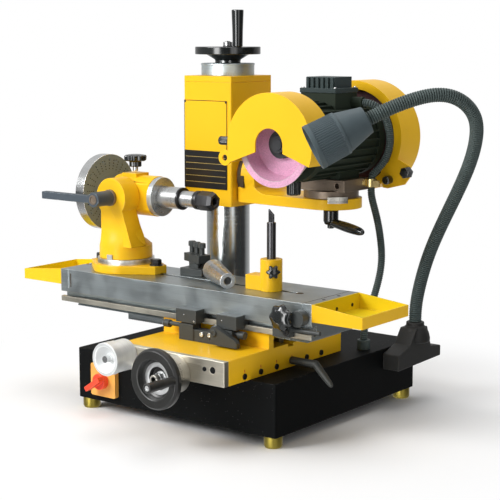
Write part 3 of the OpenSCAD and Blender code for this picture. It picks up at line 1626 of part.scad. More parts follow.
module grinding_wheels() {
    x = platform_x;
    z = spindle_z;
    bore = wheel_shaft_r + run_gap;
    color(pink) {
        translate([x, cup_y1, z]) rotate([90, 0, 0]) rotate_extrude() polygon([
            [bore, 0], [cup_r - cup_flare, 0], [cup_r, cup_d], [cup_r - cup_rim, cup_d],
                [cup_r - cup_floor_in, cup_web], [bore, cup_web]]);
        difference() {
            rod_y(rear_wheel_y0, rear_wheel_y1, x, z, rear_wheel_r);
            rod_y(rear_wheel_y0 - over, rear_wheel_y1 + over, x, z, bore);
        }
    }
}

base_box();
feet();
feed_nuts();
column();
switch_plate();
lamp_bracket();
gooseneck();
base_gland();
conduit_drop();
switch_knob();
lamp_shade();
lamp_bulb();
saddle();
front_plate();
saddle_screws();
stop_bracket();
saddle_lever();
stop_lever();
cross_screw();
cross_wheel();
pinion_shaft();
table_knob();
table();
table_rack();
tray_left();
tray_right();
table_dog();
table_star();
stop_dog_left();
stop_dog_right();
tool_fixture();
taper_sleeve();
rest_post();
rest_rod();
rest_star();
workhead_base();
swivel_ring();
workhead_bracket();
tilt_lever();
spindle_housing();
housing_star();
work_spindle();
index_disc();
collet_nut();
head_box();
head_panel();
lift_screw();
lift_dial();
lift_wheel();
arm();
clamp_lever();
swivel_plate();
motor_housing();
front_guard();
rear_guard();
guard_knobs();
conduit_clip();
conduit_upper();
motor_shaft();
grinding_wheels();
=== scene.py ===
# %% [markdown]
# # Tool and cutter grinder
# A bench machine that sharpens milling cutters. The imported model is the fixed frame: it has every
# real size and every joint. This lesson adds what a drawing leaves out, such as rounded edges,
# ground and turned metal, glossy paint, ribbed hoses, graduations and fasteners.

# %% Load the frame
import json
import math
import bmesh
import bpy
import numpy as np
from mathutils import Matrix, Vector

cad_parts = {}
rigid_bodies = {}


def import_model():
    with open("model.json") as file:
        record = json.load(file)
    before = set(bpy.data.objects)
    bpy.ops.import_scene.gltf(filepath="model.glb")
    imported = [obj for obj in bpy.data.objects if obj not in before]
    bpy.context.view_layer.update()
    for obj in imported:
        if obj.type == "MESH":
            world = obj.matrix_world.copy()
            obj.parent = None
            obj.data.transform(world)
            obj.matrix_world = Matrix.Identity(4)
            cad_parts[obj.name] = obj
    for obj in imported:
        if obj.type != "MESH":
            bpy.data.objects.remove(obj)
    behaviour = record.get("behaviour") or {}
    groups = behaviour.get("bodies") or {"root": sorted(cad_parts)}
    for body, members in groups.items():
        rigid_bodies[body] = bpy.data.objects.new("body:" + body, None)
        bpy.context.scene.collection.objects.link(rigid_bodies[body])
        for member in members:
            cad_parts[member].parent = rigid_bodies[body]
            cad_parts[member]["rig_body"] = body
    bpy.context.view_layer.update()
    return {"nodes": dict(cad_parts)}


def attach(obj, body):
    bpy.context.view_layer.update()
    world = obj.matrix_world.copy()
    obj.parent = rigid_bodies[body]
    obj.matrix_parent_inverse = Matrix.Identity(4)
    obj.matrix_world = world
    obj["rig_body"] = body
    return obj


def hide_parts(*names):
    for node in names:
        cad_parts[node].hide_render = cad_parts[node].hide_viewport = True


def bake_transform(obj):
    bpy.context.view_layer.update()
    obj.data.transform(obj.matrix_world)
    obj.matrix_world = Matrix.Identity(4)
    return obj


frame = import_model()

MM = 0.001
NODES = frame["nodes"]

# %% [markdown]
# ## Camera
# A long lens from the front right, a little above the table, gives the flat perspective of a
# catalogue picture. The camera's axes are worked out from its two angles, so that the view can
# be read as "37.65 degrees round, 8.93 degrees down".

# %% Camera
CAMERA_PLACE = (1.56251, -2.02075, 0.69282)
CAMERA_ROUND = math.radians(37.65)
CAMERA_DOWN = math.radians(8.93)
CAMERA_LENS = 99.55

right = Vector((math.cos(CAMERA_ROUND), math.sin(CAMERA_ROUND), 0))
back = Vector((math.sin(CAMERA_ROUND) * math.cos(CAMERA_DOWN),
               -math.cos(CAMERA_ROUND) * math.cos(CAMERA_DOWN), math.sin(CAMERA_DOWN)))
camera = bpy.data.objects.new("camera", bpy.data.cameras.new("camera"))
camera.data.lens = CAMERA_LENS
camera.data.sensor_width = 36
camera.data.clip_end = 50
camera.matrix_world = Matrix((right, back.cross(right), back)).transposed().to_4x4()
camera.matrix_world.translation = CAMERA_PLACE
bpy.context.scene.collection.objects.link(camera)
bpy.context.scene.camera = camera
bpy.context.scene.view_settings.view_transform = "Standard"
print("camera: lens", CAMERA_LENS, "mm at", CAMERA_PLACE)

# %% [markdown]
# ## Surfaces from arrays
# Most pieces on a machine tool are turned, swept or repeated. So a shape here is a pair of arrays,
# points and faces. A grid function makes the faces, and each shape function only has to say where
# the points of its grid are.

# %% Grid, join and piece
def grid_faces(rows, columns, wrap_rows=False, wrap_columns=True):
    """Four-sided faces between neighbouring rows and columns; a wrapped side joins its end to its start."""
    i, j = np.meshgrid(np.arange(rows - (not wrap_rows)), np.arange(columns - (not wrap_columns)),
                       indexing="ij")
    i1, j1 = (i + 1) % rows, (j + 1) % columns
    corners = [i * columns + j, i * columns + j1, i1 * columns + j1, i1 * columns + j]
    return np.stack(corners, -1).reshape(-1, 4)


def join(*shapes):
    """Many shapes as one: the faces of each are counted on from the points before it."""
    counts = np.cumsum([0] + [len(points) for points, faces in shapes])
    return (np.concatenate([points for points, faces in shapes]),
            np.concatenate([faces + start for (points, faces), start in zip(shapes, counts)]))


def tidy(bm, crease):
    """Merge doubled points, drop faces with no area, turn faces outwards and mark edges over the crease."""
    bmesh.ops.remove_doubles(bm, verts=bm.verts, dist=1e-6)
    bmesh.ops.dissolve_degenerate(bm, edges=bm.edges, dist=1e-7)
    bmesh.ops.recalc_face_normals(bm, faces=bm.faces)
    for face in bm.faces:
        face.smooth = True
    for edge in bm.edges:
        edge.smooth = len(edge.link_faces) != 2 or edge.calc_face_angle(0) < crease


def piece(name, shape, body, material, replaces=(), crease=40):
    """A finished object from a shape: merged, faced outwards, with its finish, riding on its body."""
    points, faces = shape
    mesh = bpy.data.meshes.new(name)
    mesh.from_pydata(points.tolist(), [], faces.tolist())
    bm = bmesh.new()
    bm.from_mesh(mesh)
    tidy(bm, math.radians(crease))
    bm.to_mesh(mesh)
    bm.free()
    mesh.materials.append(material)
    obj = bpy.data.objects.new(name, mesh)
    bpy.context.scene.collection.objects.link(obj)
    if body:
        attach(obj, body)
    if replaces:
        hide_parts(*replaces)
    return obj


print("shape helpers ready")

# %% [markdown]
# A turned part is a profile carried round an axis. The profile is a list of (radius, height) pairs
# in millimetres. Its corners are eased by a short curve first, because a perfectly sharp edge
# catches no light and looks drawn.

# %% Turned shapes
def eased(profile, ease, steps=3):
    """Each inner corner becomes a small curve: the quadratic mean of its two tangent points and itself."""
    p = np.asarray(profile, float)
    before, corner, after = p[:-2], p[1:-1], p[2:]
    span = np.minimum(np.linalg.norm(before - corner, axis=1), np.linalg.norm(after - corner, axis=1))
    reach = np.minimum(ease, 0.45 * span)[:, None]
    a = corner + (before - corner) / np.linalg.norm(before - corner, axis=1)[:, None] * reach
    b = corner + (after - corner) / np.linalg.norm(after - corner, axis=1)[:, None] * reach
    t = np.linspace(0, 1, steps + 1)[None, :, None]
    curve = (1 - t) ** 2 * a[:, None] + 2 * t * (1 - t) * corner[:, None] + t ** 2 * b[:, None]
    return np.concatenate([p[:1], curve.reshape(-1, 2), p[-1:]])


FRONT, UP, DOWN, RIGHT, LEFT = (0, -1, 0), (0, 0, 1), (0, 0, -1), (1, 0, 0), (-1, 0, 0)


def axes_of(axis):
    """Two directions square to the axis and to each other."""
    w = np.asarray(axis, float) / np.linalg.norm(axis)
    u = np.cross(w, (0, 0, 1) if abs(w[2]) < 0.9 else (1, 0, 0))
    u /= np.linalg.norm(u)
    return u, np.cross(w, u), w


def turned_shape(profile, centre, axis, ease=0.8, sides=72, lobes=0, lobe_depth=0.0, start=0.0):
    """centre + height*axis + radius*(cos, sin); lobes swell the rim round the turn, not the middle."""
    p = eased(profile, ease) if ease else np.asarray(profile, float)
    u, v, w = axes_of(axis)
    turn = start + np.linspace(0, 2 * np.pi, sides, endpoint=False)
    share = (p[:, :1] / p[:, 0].max()) ** 2
    radius = p[:, :1] * (1 + lobe_depth * share * np.cos(lobes * turn))
    points = (np.asarray(centre) + p[:, 1, None, None] * w
              + (radius * np.cos(turn))[..., None] * u + (radius * np.sin(turn))[..., None] * v)
    return points.reshape(-1, 3) * MM, grid_faces(len(p), sides)


print("turned shapes ready")

# %% [markdown]
# ## Finishes
# Shared effects are node groups: worn paint, ground metal, turned metal, moulded plastic, specks,
# graduations and rows of holes drawn as dots of painted shade. Each reads Object coordinates, so a
# pattern stays on its piece when the machine moves. The shader itself stays in the material.

# %% Node helpers
def add(tree, kind, inputs=None, **options):
    """One shader node: options set its properties, inputs its sockets, by value or by link."""
    node = tree.nodes.new("ShaderNode" + kind)
    for key, value in options.items():
        setattr(node, key, value)
    for key, value in (inputs or {}).items():
        if isinstance(value, bpy.types.NodeSocket):
            tree.links.new(value, node.inputs[key])
        else:
            node.inputs[key].default_value = value
    return node


def calc(tree, operation, *values, clamp=False):
    """The result of a Math node."""
    return add(tree, "Math", dict(enumerate(values)), operation=operation, use_clamp=clamp).outputs[0]


def vector_calc(tree, operation, *values):
    """The result of a Vector Math node."""
    return add(tree, "VectorMath", dict(enumerate(values)), operation=operation).outputs[0]


def mixed(tree, share, a, b):
    """Colour a turning into colour b as the share goes from 0 to 1."""
    return add(tree, "Mix", {0: share, 6: a, 7: b}, data_type="RGBA").outputs[2]


def ranged(tree, value, low, high, to_low=0.0, to_high=1.0):
    """The value, stretched from low..high to to_low..to_high and kept inside."""
    return add(tree, "MapRange", {0: value, 1: low, 2: high, 3: to_low, 4: to_high}).outputs[0]


def noise(tree, vector, scale, detail=2.0, rough=0.5):
    """Soft noise between 0 and 1; scale counts lumps to the metre."""
    inputs = {"Vector": vector, "Scale": scale, "Detail": detail, "Roughness": rough}
    return add(tree, "TexNoise", inputs).outputs[0]


def group(name, inputs, outputs):
    """An empty node group with named sockets; gives its tree, its inputs and its outputs."""
    tree = bpy.data.node_groups.new(name, "ShaderNodeTree")
    for label, kind, value in inputs:
        socket = tree.interface.new_socket(name=label, in_out="INPUT", socket_type="NodeSocket" + kind)
        socket.default_value = value
    for label, kind in outputs:
        tree.interface.new_socket(name=label, in_out="OUTPUT", socket_type="NodeSocket" + kind)
    return tree, tree.nodes.new("NodeGroupInput").outputs, tree.nodes.new("NodeGroupOutput").inputs


SURFACE = [("Color", "Color"), ("Roughness", "Float"), ("Height", "Float")]
MASK = [("Mask", "Float")]
ORIGIN = (0.0, 0.0, 0.0)
print("node helpers ready")

# %% [markdown]
# Machine paint is sprayed thick. It has a faint orange peel, a tone that drifts a little over a
# panel, a haze of fine dust, and thin bright wear where an edge is rubbed. The edges are known
# from an attribute that the rounding step writes, so the wear follows them.

# %% Worn paint and moulded plastic
def make_paint():
    """Paint whose tone drifts; where a bevelled edge meets a lump of noise it shows the worn colour."""
    tree, i, o = group("worn_paint", [
        ("Vector", "Vector", ORIGIN), ("Paint", "Color", (1, 1, 1, 1)), ("Worn", "Color", (1, 1, 1, 1)),
        ("Gloss", "Float", 0.25), ("Wear", "Float", 0.5)], SURFACE)
    drift = noise(tree, i["Vector"], 9.0, 3.0)
    dust = noise(tree, i["Vector"], 160.0, 4.0, 0.7)
    peel = noise(tree, i["Vector"], 520.0, 1.0)
    chips = noise(tree, i["Vector"], 95.0, 4.0, 0.65)
    edge = add(tree, "Attribute", attribute_name="edge").outputs["Fac"]
    rubbed = calc(tree, "MULTIPLY", edge, ranged(tree, chips, 0.5, 0.62))
    rubbed = calc(tree, "MULTIPLY", rubbed, i["Wear"])
    tone = calc(tree, "MULTIPLY_ADD", drift, 0.1, 0.95)
    paint = vector_calc(tree, "SCALE", i["Paint"])
    tree.links.new(tone, paint.node.inputs["Scale"])
    tree.links.new(mixed(tree, rubbed, paint, i["Worn"]), o["Color"])
    gloss = calc(tree, "MULTIPLY_ADD", dust, 0.1, i["Gloss"])
    gloss = calc(tree, "MULTIPLY_ADD", drift, 0.08, gloss)
    tree.links.new(calc(tree, "MULTIPLY_ADD", rubbed, 0.2, gloss), o["Roughness"])
    height = calc(tree, "MULTIPLY_ADD", dust, 0.25, peel)
    tree.links.new(calc(tree, "SUBTRACT", height, rubbed), o["Height"])
    return tree


def make_moulded():
    """Plastic whose tone follows soft smears and the attribute "edge": lighter on bevelled edges, and on the
    hoses a painted highlight on the crests and painted shade in the grooves.
    """
    tree, i, o = group("moulded_plastic", [
        ("Vector", "Vector", ORIGIN), ("Tint", "Color", (1, 1, 1, 1)), ("Gloss", "Float", 0.3)], SURFACE)
    grain = noise(tree, i["Vector"], 900.0, 2.0)
    smear = noise(tree, i["Vector"], 26.0, 4.0, 0.6)
    edge = add(tree, "Attribute", attribute_name="edge").outputs["Fac"]
    tint = vector_calc(tree, "SCALE", i["Tint"])
    lift = calc(tree, "MULTIPLY_ADD", smear, 0.5, 0.75)
    # On the hoses this lift paints a highlight on the crests and shade in the grooves.
    tree.links.new(calc(tree, "MULTIPLY_ADD", edge, 0.35, lift), tint.node.inputs["Scale"])
    tree.links.new(tint, o["Color"])
    tree.links.new(calc(tree, "MULTIPLY_ADD", smear, 0.2, i["Gloss"]), o["Roughness"])
    tree.links.new(grain, o["Height"])
    return tree


PAINT, MOULDED = make_paint(), make_moulded()
print("groups:", PAINT.name, MOULDED.name)

# %% [markdown]
# A ground face has fine straight lines, a turned face has fine rings, and both carry a film of oil
# that dulls them in clouds. The two groups differ only in what they hand to the noise: stretched
# coordinates for ground faces, distance from the axis and place along it for turned ones.

# %% Ground and turned metal
METAL_INPUTS = [("Vector", "Vector", ORIGIN), ("Metal", "Color", (1, 1, 1, 1)), ("Gloss", "Float", 0.25)]


def metal_surface(tree, i, o, lines, bands):
    """Colour, roughness and height of bare metal from its fine lines and its broad bands."""
    film = noise(tree, i["Vector"], 17.0, 4.0, 0.6)
    edge = add(tree, "Attribute", attribute_name="edge").outputs["Fac"]
    tone = calc(tree, "MULTIPLY_ADD", lines, 0.3, 0.62)
    tone = calc(tree, "MULTIPLY_ADD", bands, 0.2, tone)
    tone = calc(tree, "MULTIPLY_ADD", edge, 0.25, tone)
    metal = vector_calc(tree, "SCALE", i["Metal"])
    tree.links.new(calc(tree, "MULTIPLY_ADD", film, 0.14, tone), metal.node.inputs["Scale"])
    tree.links.new(metal, o["Color"])
    gloss = calc(tree, "MULTIPLY_ADD", lines, 0.16, i["Gloss"])
    tree.links.new(calc(tree, "MULTIPLY_ADD", ranged(tree, film, 0.35, 0.7), 0.14, gloss), o["Roughness"])
    tree.links.new(lines, o["Height"])


def make_ground():
    """Straight lines: noise in coordinates that are stretched along one direction."""
    tree, i, o = group("ground_metal", METAL_INPUTS + [("Along", "Vector", (20.0, 900.0, 900.0))], SURFACE)
    lines = noise(tree, vector_calc(tree, "MULTIPLY", i["Vector"], i["Along"]), 1.0, 4.0, 0.6)
    wide = vector_calc(tree, "MULTIPLY", i["Vector"], i["Along"])
    bands = noise(tree, vector_calc(tree, "MULTIPLY", wide, (0.12, 0.12, 0.12)), 1.0, 3.0)
    metal_surface(tree, i, o, lines, bands)
    return tree


def length_of(tree, a, b):
    """The root of a squared plus b squared."""
    return calc(tree, "SQRT", calc(tree, "ADD", calc(tree, "MULTIPLY", a, a), calc(tree, "MULTIPLY", b, b)))


def round_axis(tree, vector):
    """Distance from the Z axis, angle about it and height, of a vector."""
    parts = add(tree, "SeparateXYZ", {0: vector}).outputs
    return length_of(tree, parts[0], parts[1]), calc(tree, "ARCTAN2", parts[1], parts[0]), parts[2]


def make_turned():
    """Rings: noise of the radius and the height, which hardly changes with the angle."""
    tree, i, o = group("turned_metal", METAL_INPUTS + [("Rings", "Float", 1200.0)], SURFACE)
    radius, angle, height = round_axis(tree, i["Vector"])
    drift = calc(tree, "MULTIPLY", angle, 0.0004)
    place = add(tree, "CombineXYZ", {0: radius, 1: height, 2: drift}).outputs[0]
    lines = noise(tree, place, i["Rings"], 3.0, 0.6)
    bands = noise(tree, place, calc(tree, "MULTIPLY", i["Rings"], 0.1), 2.0)
    metal_surface(tree, i, o, lines, bands)
    return tree


GROUND, TURNED = make_ground(), make_turned()
print("groups:", GROUND.name, TURNED.name)

# %% [markdown]
# Three masks draw marks without any geometry: white specks in the base paint, the graduations of a
# dial, and the rows of holes on the index disc, each hole a dark dot of painted shade. A mask is 1 on
# the mark and 0 beside it.

# %% Specks, graduations and hole shade
def make_specks():
    """A dot at the middle of some cells of a Voronoi pattern, chosen by their colour."""
    tree, i, o = group("specks", [
        ("Vector", "Vector", ORIGIN), ("Scale", "Float", 300.0), ("Size", "Float", 0.16)], MASK)
    cells = add(tree, "TexVoronoi", {"Vector": i["Vector"], "Scale": i["Scale"]})
    chosen = ranged(tree, add(tree, "SeparateColor", {0: cells.outputs["Color"]}).outputs[0], 0.72, 0.74)
    dot = calc(tree, "LESS_THAN", cells.outputs["Distance"], i["Size"])
    tree.links.new(calc(tree, "MULTIPLY", dot, chosen), o["Mask"])
    return tree


def make_graduations():
    """Lines at equal turns, longer at each fifth and each tenth."""
    tree, i, o = group("graduations", [
        ("Vector", "Vector", ORIGIN), ("Count", "Float", 100.0), ("From", "Float", 0.0),
        ("To", "Float", 0.01), ("Width", "Float", 0.25), ("Inside", "Float", 0.01)], MASK)
    radius, angle, height = round_axis(tree, i["Vector"])
    turn = calc(tree, "MULTIPLY", angle, 0.5 / math.pi)
    step = calc(tree, "MULTIPLY", turn, i["Count"])
    line = calc(tree, "LESS_THAN", calc(tree, "PINGPONG", step, 0.5), calc(tree, "MULTIPLY", i["Width"], 0.5))
    tenth = calc(tree, "LESS_THAN", calc(tree, "PINGPONG", calc(tree, "MULTIPLY", step, 0.1), 0.5), 0.05)
    fifth = calc(tree, "LESS_THAN", calc(tree, "PINGPONG", calc(tree, "MULTIPLY", step, 0.2), 0.5), 0.1)
    reach = calc(tree, "MULTIPLY_ADD", tenth, 0.3, calc(tree, "MULTIPLY_ADD", fifth, 0.2, 0.45))
    top = calc(tree, "MULTIPLY_ADD", calc(tree, "SUBTRACT", i["To"], i["From"]), reach, i["From"])
    above = calc(tree, "GREATER_THAN", height, i["From"])
    inside = calc(tree, "MULTIPLY", above, calc(tree, "LESS_THAN", height, top))
    inside = calc(tree, "MULTIPLY", inside, calc(tree, "GREATER_THAN", radius, i["Inside"]))
    tree.links.new(calc(tree, "MULTIPLY", line, inside), o["Mask"])
    return tree


def make_hole_shade_dots():
    """Dots of painted hole shade at equal turns and equal steps of the radius."""
    tree, i, o = group("hole_shade_rows", [
        ("Vector", "Vector", ORIGIN), ("Rows", "Float", 36.0), ("Inner", "Float", 0.03),
        ("Outer", "Float", 0.065), ("Pitch", "Float", 0.0044), ("Hole", "Float", 0.0012)], MASK)
    radius, angle, height = round_axis(tree, i["Vector"])
    turn = calc(tree, "MULTIPLY", calc(tree, "MULTIPLY", angle, 0.5 / math.pi), i["Rows"])
    across = calc(tree, "DIVIDE", calc(tree, "PINGPONG", turn, 0.5), i["Rows"])
    across = calc(tree, "MULTIPLY", calc(tree, "MULTIPLY", across, 2 * math.pi), radius)
    out = calc(tree, "DIVIDE", calc(tree, "SUBTRACT", radius, i["Inner"]), i["Pitch"])
    along = calc(tree, "MULTIPLY", calc(tree, "PINGPONG", out, 0.5), i["Pitch"])
    hole = calc(tree, "LESS_THAN", length_of(tree, across, along), i["Hole"])
    beyond = calc(tree, "GREATER_THAN", out, -0.4)
    inside = calc(tree, "MULTIPLY", beyond, calc(tree, "LESS_THAN", radius, i["Outer"]))
    tree.links.new(calc(tree, "MULTIPLY", hole, inside), o["Mask"])
    return tree


SPECKS, GRADUATIONS, HOLE_SHADE_DOTS = make_specks(), make_graduations(), make_hole_shade_dots()
print("groups:", SPECKS.name, GRADUATIONS.name, HOLE_SHADE_DOTS.name)

# %% [markdown]
# One function wires a material: coordinates, turned or shifted where a pattern needs an axis, into
# an effect group, into the Principled shader. A mark, where there is one, is laid over the colour.

# %% Material maker
AXIS_TURN = {"Z": (0, 0, 0), "X": (0, -math.pi / 2, 0), "Y": (math.pi / 2, 0, 0)}


def axis_mapping(tree, vector, axis, centre):
    """The vector seen from an axis: the axis becomes Z, and the centre, in millimetres, the origin."""
    turn = AXIS_TURN[axis]
    shift = -(Matrix.Rotation(turn[1], 3, "Y") @ Matrix.Rotation(turn[0], 3, "X") @ Vector(centre)) * MM
    return add(tree, "Mapping", {"Vector": vector, "Location": shift, "Rotation": turn}).outputs[0]


def rgb(r, g, b):
    """A colour with full alpha."""
    return (r, g, b, 1.0)


def finish(name, effect, values, bump=0.1, bump_mm=0.1, axis=None, centre=ORIGIN, mark=None, mark_values=None,
           mark_colour=(0.01, 0.01, 0.01), metallic=0.0, specular=0.5, **shader):
    """A material: an effect group feeds colour, roughness and bump; shader values are set on its sockets."""
    material = bpy.data.materials.new(name)
    material.use_nodes = True
    tree = material.node_tree
    bsdf = tree.nodes["Principled BSDF"]
    vector = add(tree, "TexCoord").outputs["Object"]
    seen = axis_mapping(tree, vector, axis, centre) if axis else vector
    node = add(tree, "Group", {"Vector": seen, **values}, node_tree=effect)
    colour, height = node.outputs["Color"], node.outputs["Height"]
    if mark:
        marks = add(tree, "Group", {"Vector": seen, **mark_values}, node_tree=mark)
        colour = mixed(tree, marks.outputs["Mask"], colour, rgb(*mark_colour))
        height = calc(tree, "SUBTRACT", height, marks.outputs["Mask"])
    tree.links.new(colour, bsdf.inputs["Base Color"])
    tree.links.new(node.outputs["Roughness"], bsdf.inputs["Roughness"])
    bumps = add(tree, "Bump", {"Strength": bump, "Distance": bump_mm * MM, "Height": height})
    tree.links.new(bumps.outputs[0], bsdf.inputs["Normal"])
    bsdf.inputs["Metallic"].default_value = metallic
    bsdf.inputs["Specular IOR Level"].default_value = specular
    for key, value in shader.items():
        bsdf.inputs[key.replace("_", " ")].default_value = value
    return material


print("material maker ready")

# %% [markdown]
# Four short functions name the kinds of finish: painted, ground, moulded and turned. Each takes its
# colour and roughness and hands the rest on.

# %% Kinds of finish
def painted(name, paint, worn, gloss, **more):
    """Worn paint: its colour, the colour of rubbed edges and its roughness."""
    return finish(name, PAINT, {"Paint": rgb(*paint), "Worn": rgb(*worn), "Gloss": gloss}, **more)


def ground(name, metal, gloss, grain=None, metallic=1.0, **more):
    """Ground metal; with a grain its lines are alike in all directions, as on cast or drawn metal."""
    along = {"Along": (grain, grain, grain)} if grain else {}
    return finish(name, GROUND, {"Metal": rgb(*metal), "Gloss": gloss, **along}, metallic=metallic, **more)


def moulded(name, tint, gloss, bump, **more):
    """Moulded plastic."""
    return finish(name, MOULDED, {"Tint": rgb(*tint), "Gloss": gloss}, bump=bump, **more)


def turned(name, metal, gloss, axis, centre, rings=None, metallic=1.0, **more):
    """Turned metal with its rings about an axis through the centre, in millimetres."""
    values = {"Metal": rgb(*metal), "Gloss": gloss, **({"Rings": rings} if rings else {})}
    return finish(name, TURNED, values, axis=axis, centre=centre, metallic=metallic, **more)


def graduated(name, metal, gloss, axis, centre, low, high, inside, count, width, **more):
    """Turned metal with lines round it, from low to high along the axis, outside a radius, all in metres."""
    marks = {"From": low, "To": high, "Inside": inside, "Count": count, "Width": width}
    return turned(name, metal, gloss, axis, centre, bump=0.2, mark=GRADUATIONS, mark_values=marks, **more)


print("kinds of finish: painted, ground, moulded, turned, graduated")

# %% [markdown]
# The finishes of this machine. Castings are glossy yellow, the base is black with fine light specks,
# slides are ground steel, spindles and dials are turned, hand parts are polished black plastic.

# %% Paints
RUBBED_YELLOW, RUBBED_BLACK = (0.95, 0.66, 0.10), (0.1, 0.1, 0.1)

yellow_paint = painted("yellow_paint", (0.94, 0.54, 0.012), RUBBED_YELLOW, 0.26, bump=0.05, bump_mm=0.06,
                       specular=0.2, Coat_Weight=0.06, Coat_Roughness=0.15)
# A lighter, less red yellow for the inside of the trays: painted light where their own walls shade them.
tray_inside_painted_light = painted("tray_inside_painted_light", (0.85, 0.63, 0.012), RUBBED_YELLOW, 0.3, bump=0.05, bump_mm=0.06,
                     specular=0.2)
base_paint = painted("base_paint", (0.0045, 0.005, 0.0052), (0.05, 0.05, 0.05), 0.5, specular=0.06,
                     mark=SPECKS, mark_values={"Scale": 260.0, "Size": 0.1}, mark_colour=(0.2, 0.2, 0.19))
black_metal = painted("black_metal", (0.009, 0.009, 0.0095), RUBBED_BLACK, 0.22, bump=0.06, specular=0.4)
motor_paint = painted("motor_paint", (0.024, 0.034, 0.023), (0.07, 0.085, 0.075), 0.5, bump=0.15, bump_mm=0.2,
                      specular=0.12)
box_paint = painted("box_paint", (0.034, 0.052, 0.053), (0.15, 0.18, 0.18), 0.3, specular=0.25)
block_grey = painted("block_grey", (0.052, 0.057, 0.056), (0.16, 0.17, 0.17), 0.3, bump=0.12, specular=0.3)
lever_grey = painted("lever_grey", (0.062, 0.078, 0.094), (0.25, 0.28, 0.3), 0.34, specular=0.3)
lever_matte = painted("lever_matte", (0.05, 0.053, 0.05), RUBBED_BLACK, 0.42, specular=0.3)
print("paints:", len(bpy.data.materials))

# %% [markdown]
# Bare metal next, then the plastics. A fine grain keeps small castings from showing straight lines.

# %% Ground metals and plastics
ground_steel = ground("ground_steel", (0.37, 0.41, 0.42), 0.24, bump=0.06, bump_mm=0.04)
plate_steel = ground("plate_steel", (0.72, 0.67, 0.56), 0.26, bump=0.06, bump_mm=0.04)
rail_steel = ground("rail_steel", (0.42, 0.40, 0.34), 0.3, bump=0.08, bump_mm=0.05)
dark_steel = ground("dark_steel", (0.23, 0.18, 0.135), 0.3, 300.0, 0.6, bump=0.15)
bright_steel = ground("bright_steel", (0.72, 0.73, 0.73), 0.1, 400.0, bump=0.04, bump_mm=0.03)
sleeve_steel = ground("sleeve_steel", (0.66, 0.68, 0.69), 0.16, 400.0, 0.88, bump=0.04, bump_mm=0.03)
aluminium = ground("aluminium", (0.7, 0.71, 0.71), 0.28, 500.0, bump=0.08, bump_mm=0.05)
brass = ground("brass", (0.62, 0.49, 0.22), 0.2, 400.0)
foot_brass = ground("foot_brass", (0.33, 0.26, 0.045), 0.3, 400.0, 0.9)

hose_grey = moulded("hose_grey", (0.060, 0.080, 0.077), 0.38, 0.1, specular=0.25)
lamp_grey = moulded("lamp_grey", (0.072, 0.096, 0.106), 0.42, 0.12, specular=0.25)
foot_grey = moulded("foot_grey", (0.026, 0.026, 0.025), 0.4, 0.12, specular=0.22)
black_plastic = moulded("black_plastic", (0.010, 0.0125, 0.0125), 0.04, 0.02, specular=0.85)
wheel_plastic = moulded("wheel_plastic", (0.019, 0.019, 0.018), 0.24, 0.05)
red_plastic = moulded("red_plastic", (0.86, 0.075, 0.03), 0.2, 0.08)
red_paint = moulded("red_paint", (0.55, 0.03, 0.02), 0.4, 0.05)
rule_paint = moulded("rule_paint", (0.50, 0.36, 0.10), 0.35, 0.03)
switch_yellow = moulded("switch_yellow", (0.88, 0.44, 0.09), 0.28, 0.05)
bulb_glass = moulded("bulb_glass", (0.85, 0.84, 0.78), 0.1, 0.03)
print("finishes:", len(bpy.data.materials))

# %% [markdown]
# Turned parts need their own axis, because the rings follow it. The dials add graduations, and the
# index disc its rows of holes as dots of painted shade. The centres are places on the machine, in
# millimetres.

# %% Finishes with an axis
COLUMN = (-112, 80, 0)
LIFT_DIAL = (-112, 80, 612.3)
FEED = (70, -317.3, 123)
KNOB = (-45, 0, 140)
WORK = (0, -75, 388)
WHEEL = (131, 0, 500.3)
WORKHEAD = (-214, -104.5, 262)
PLATFORM = (131, 80, 394)
POST = (137, -112, 0)
ARM_BOSS = (0, 80, 423)
HOLES = {"Inner": 0.0455, "Outer": 0.0645, "Rows": 30.0, "Pitch": 0.00533, "Hole": 0.0012}

column_chrome = turned("column_chrome", (0.58, 0.61, 0.61), 0.06, "Z", COLUMN, 250.0, bump=0.003,
                       bump_mm=0.01)
spindle_steel = turned("spindle_steel", (0.56, 0.57, 0.57), 0.18, "X", WORK,
                       metallic=0.8, bump=0.06, bump_mm=0.04)
flange_steel = turned("flange_steel", (0.56, 0.59, 0.59), 0.24, "X", WORK,
                      metallic=0.75, bump=0.08, bump_mm=0.05)
spindle_black = turned("spindle_black", (0.05, 0.05, 0.052), 0.2, "X", WORK, metallic=0.8, bump=0.06)
# The index disc's holes are dark dots: painted shade, as the holes are not cut.
index_steel = turned("index_steel", (0.25, 0.30, 0.31), 0.42, "X", WORK, metallic=0.15, bump=0.5, bump_mm=0.4,
                     specular=0.2, mark=HOLE_SHADE_DOTS, mark_values=HOLES)
knob_aluminium = turned("knob_aluminium", (0.80, 0.82, 0.82), 0.26, "Y", KNOB, 1500.0, 0.45, bump_mm=0.05)
rest_steel = turned("rest_steel", (0.10, 0.10, 0.105), 0.16, "Z", POST, metallic=0.9, bump=0.08)
wheel_steel = turned("wheel_steel", (0.05, 0.052, 0.055), 0.3, "Y", WHEEL)
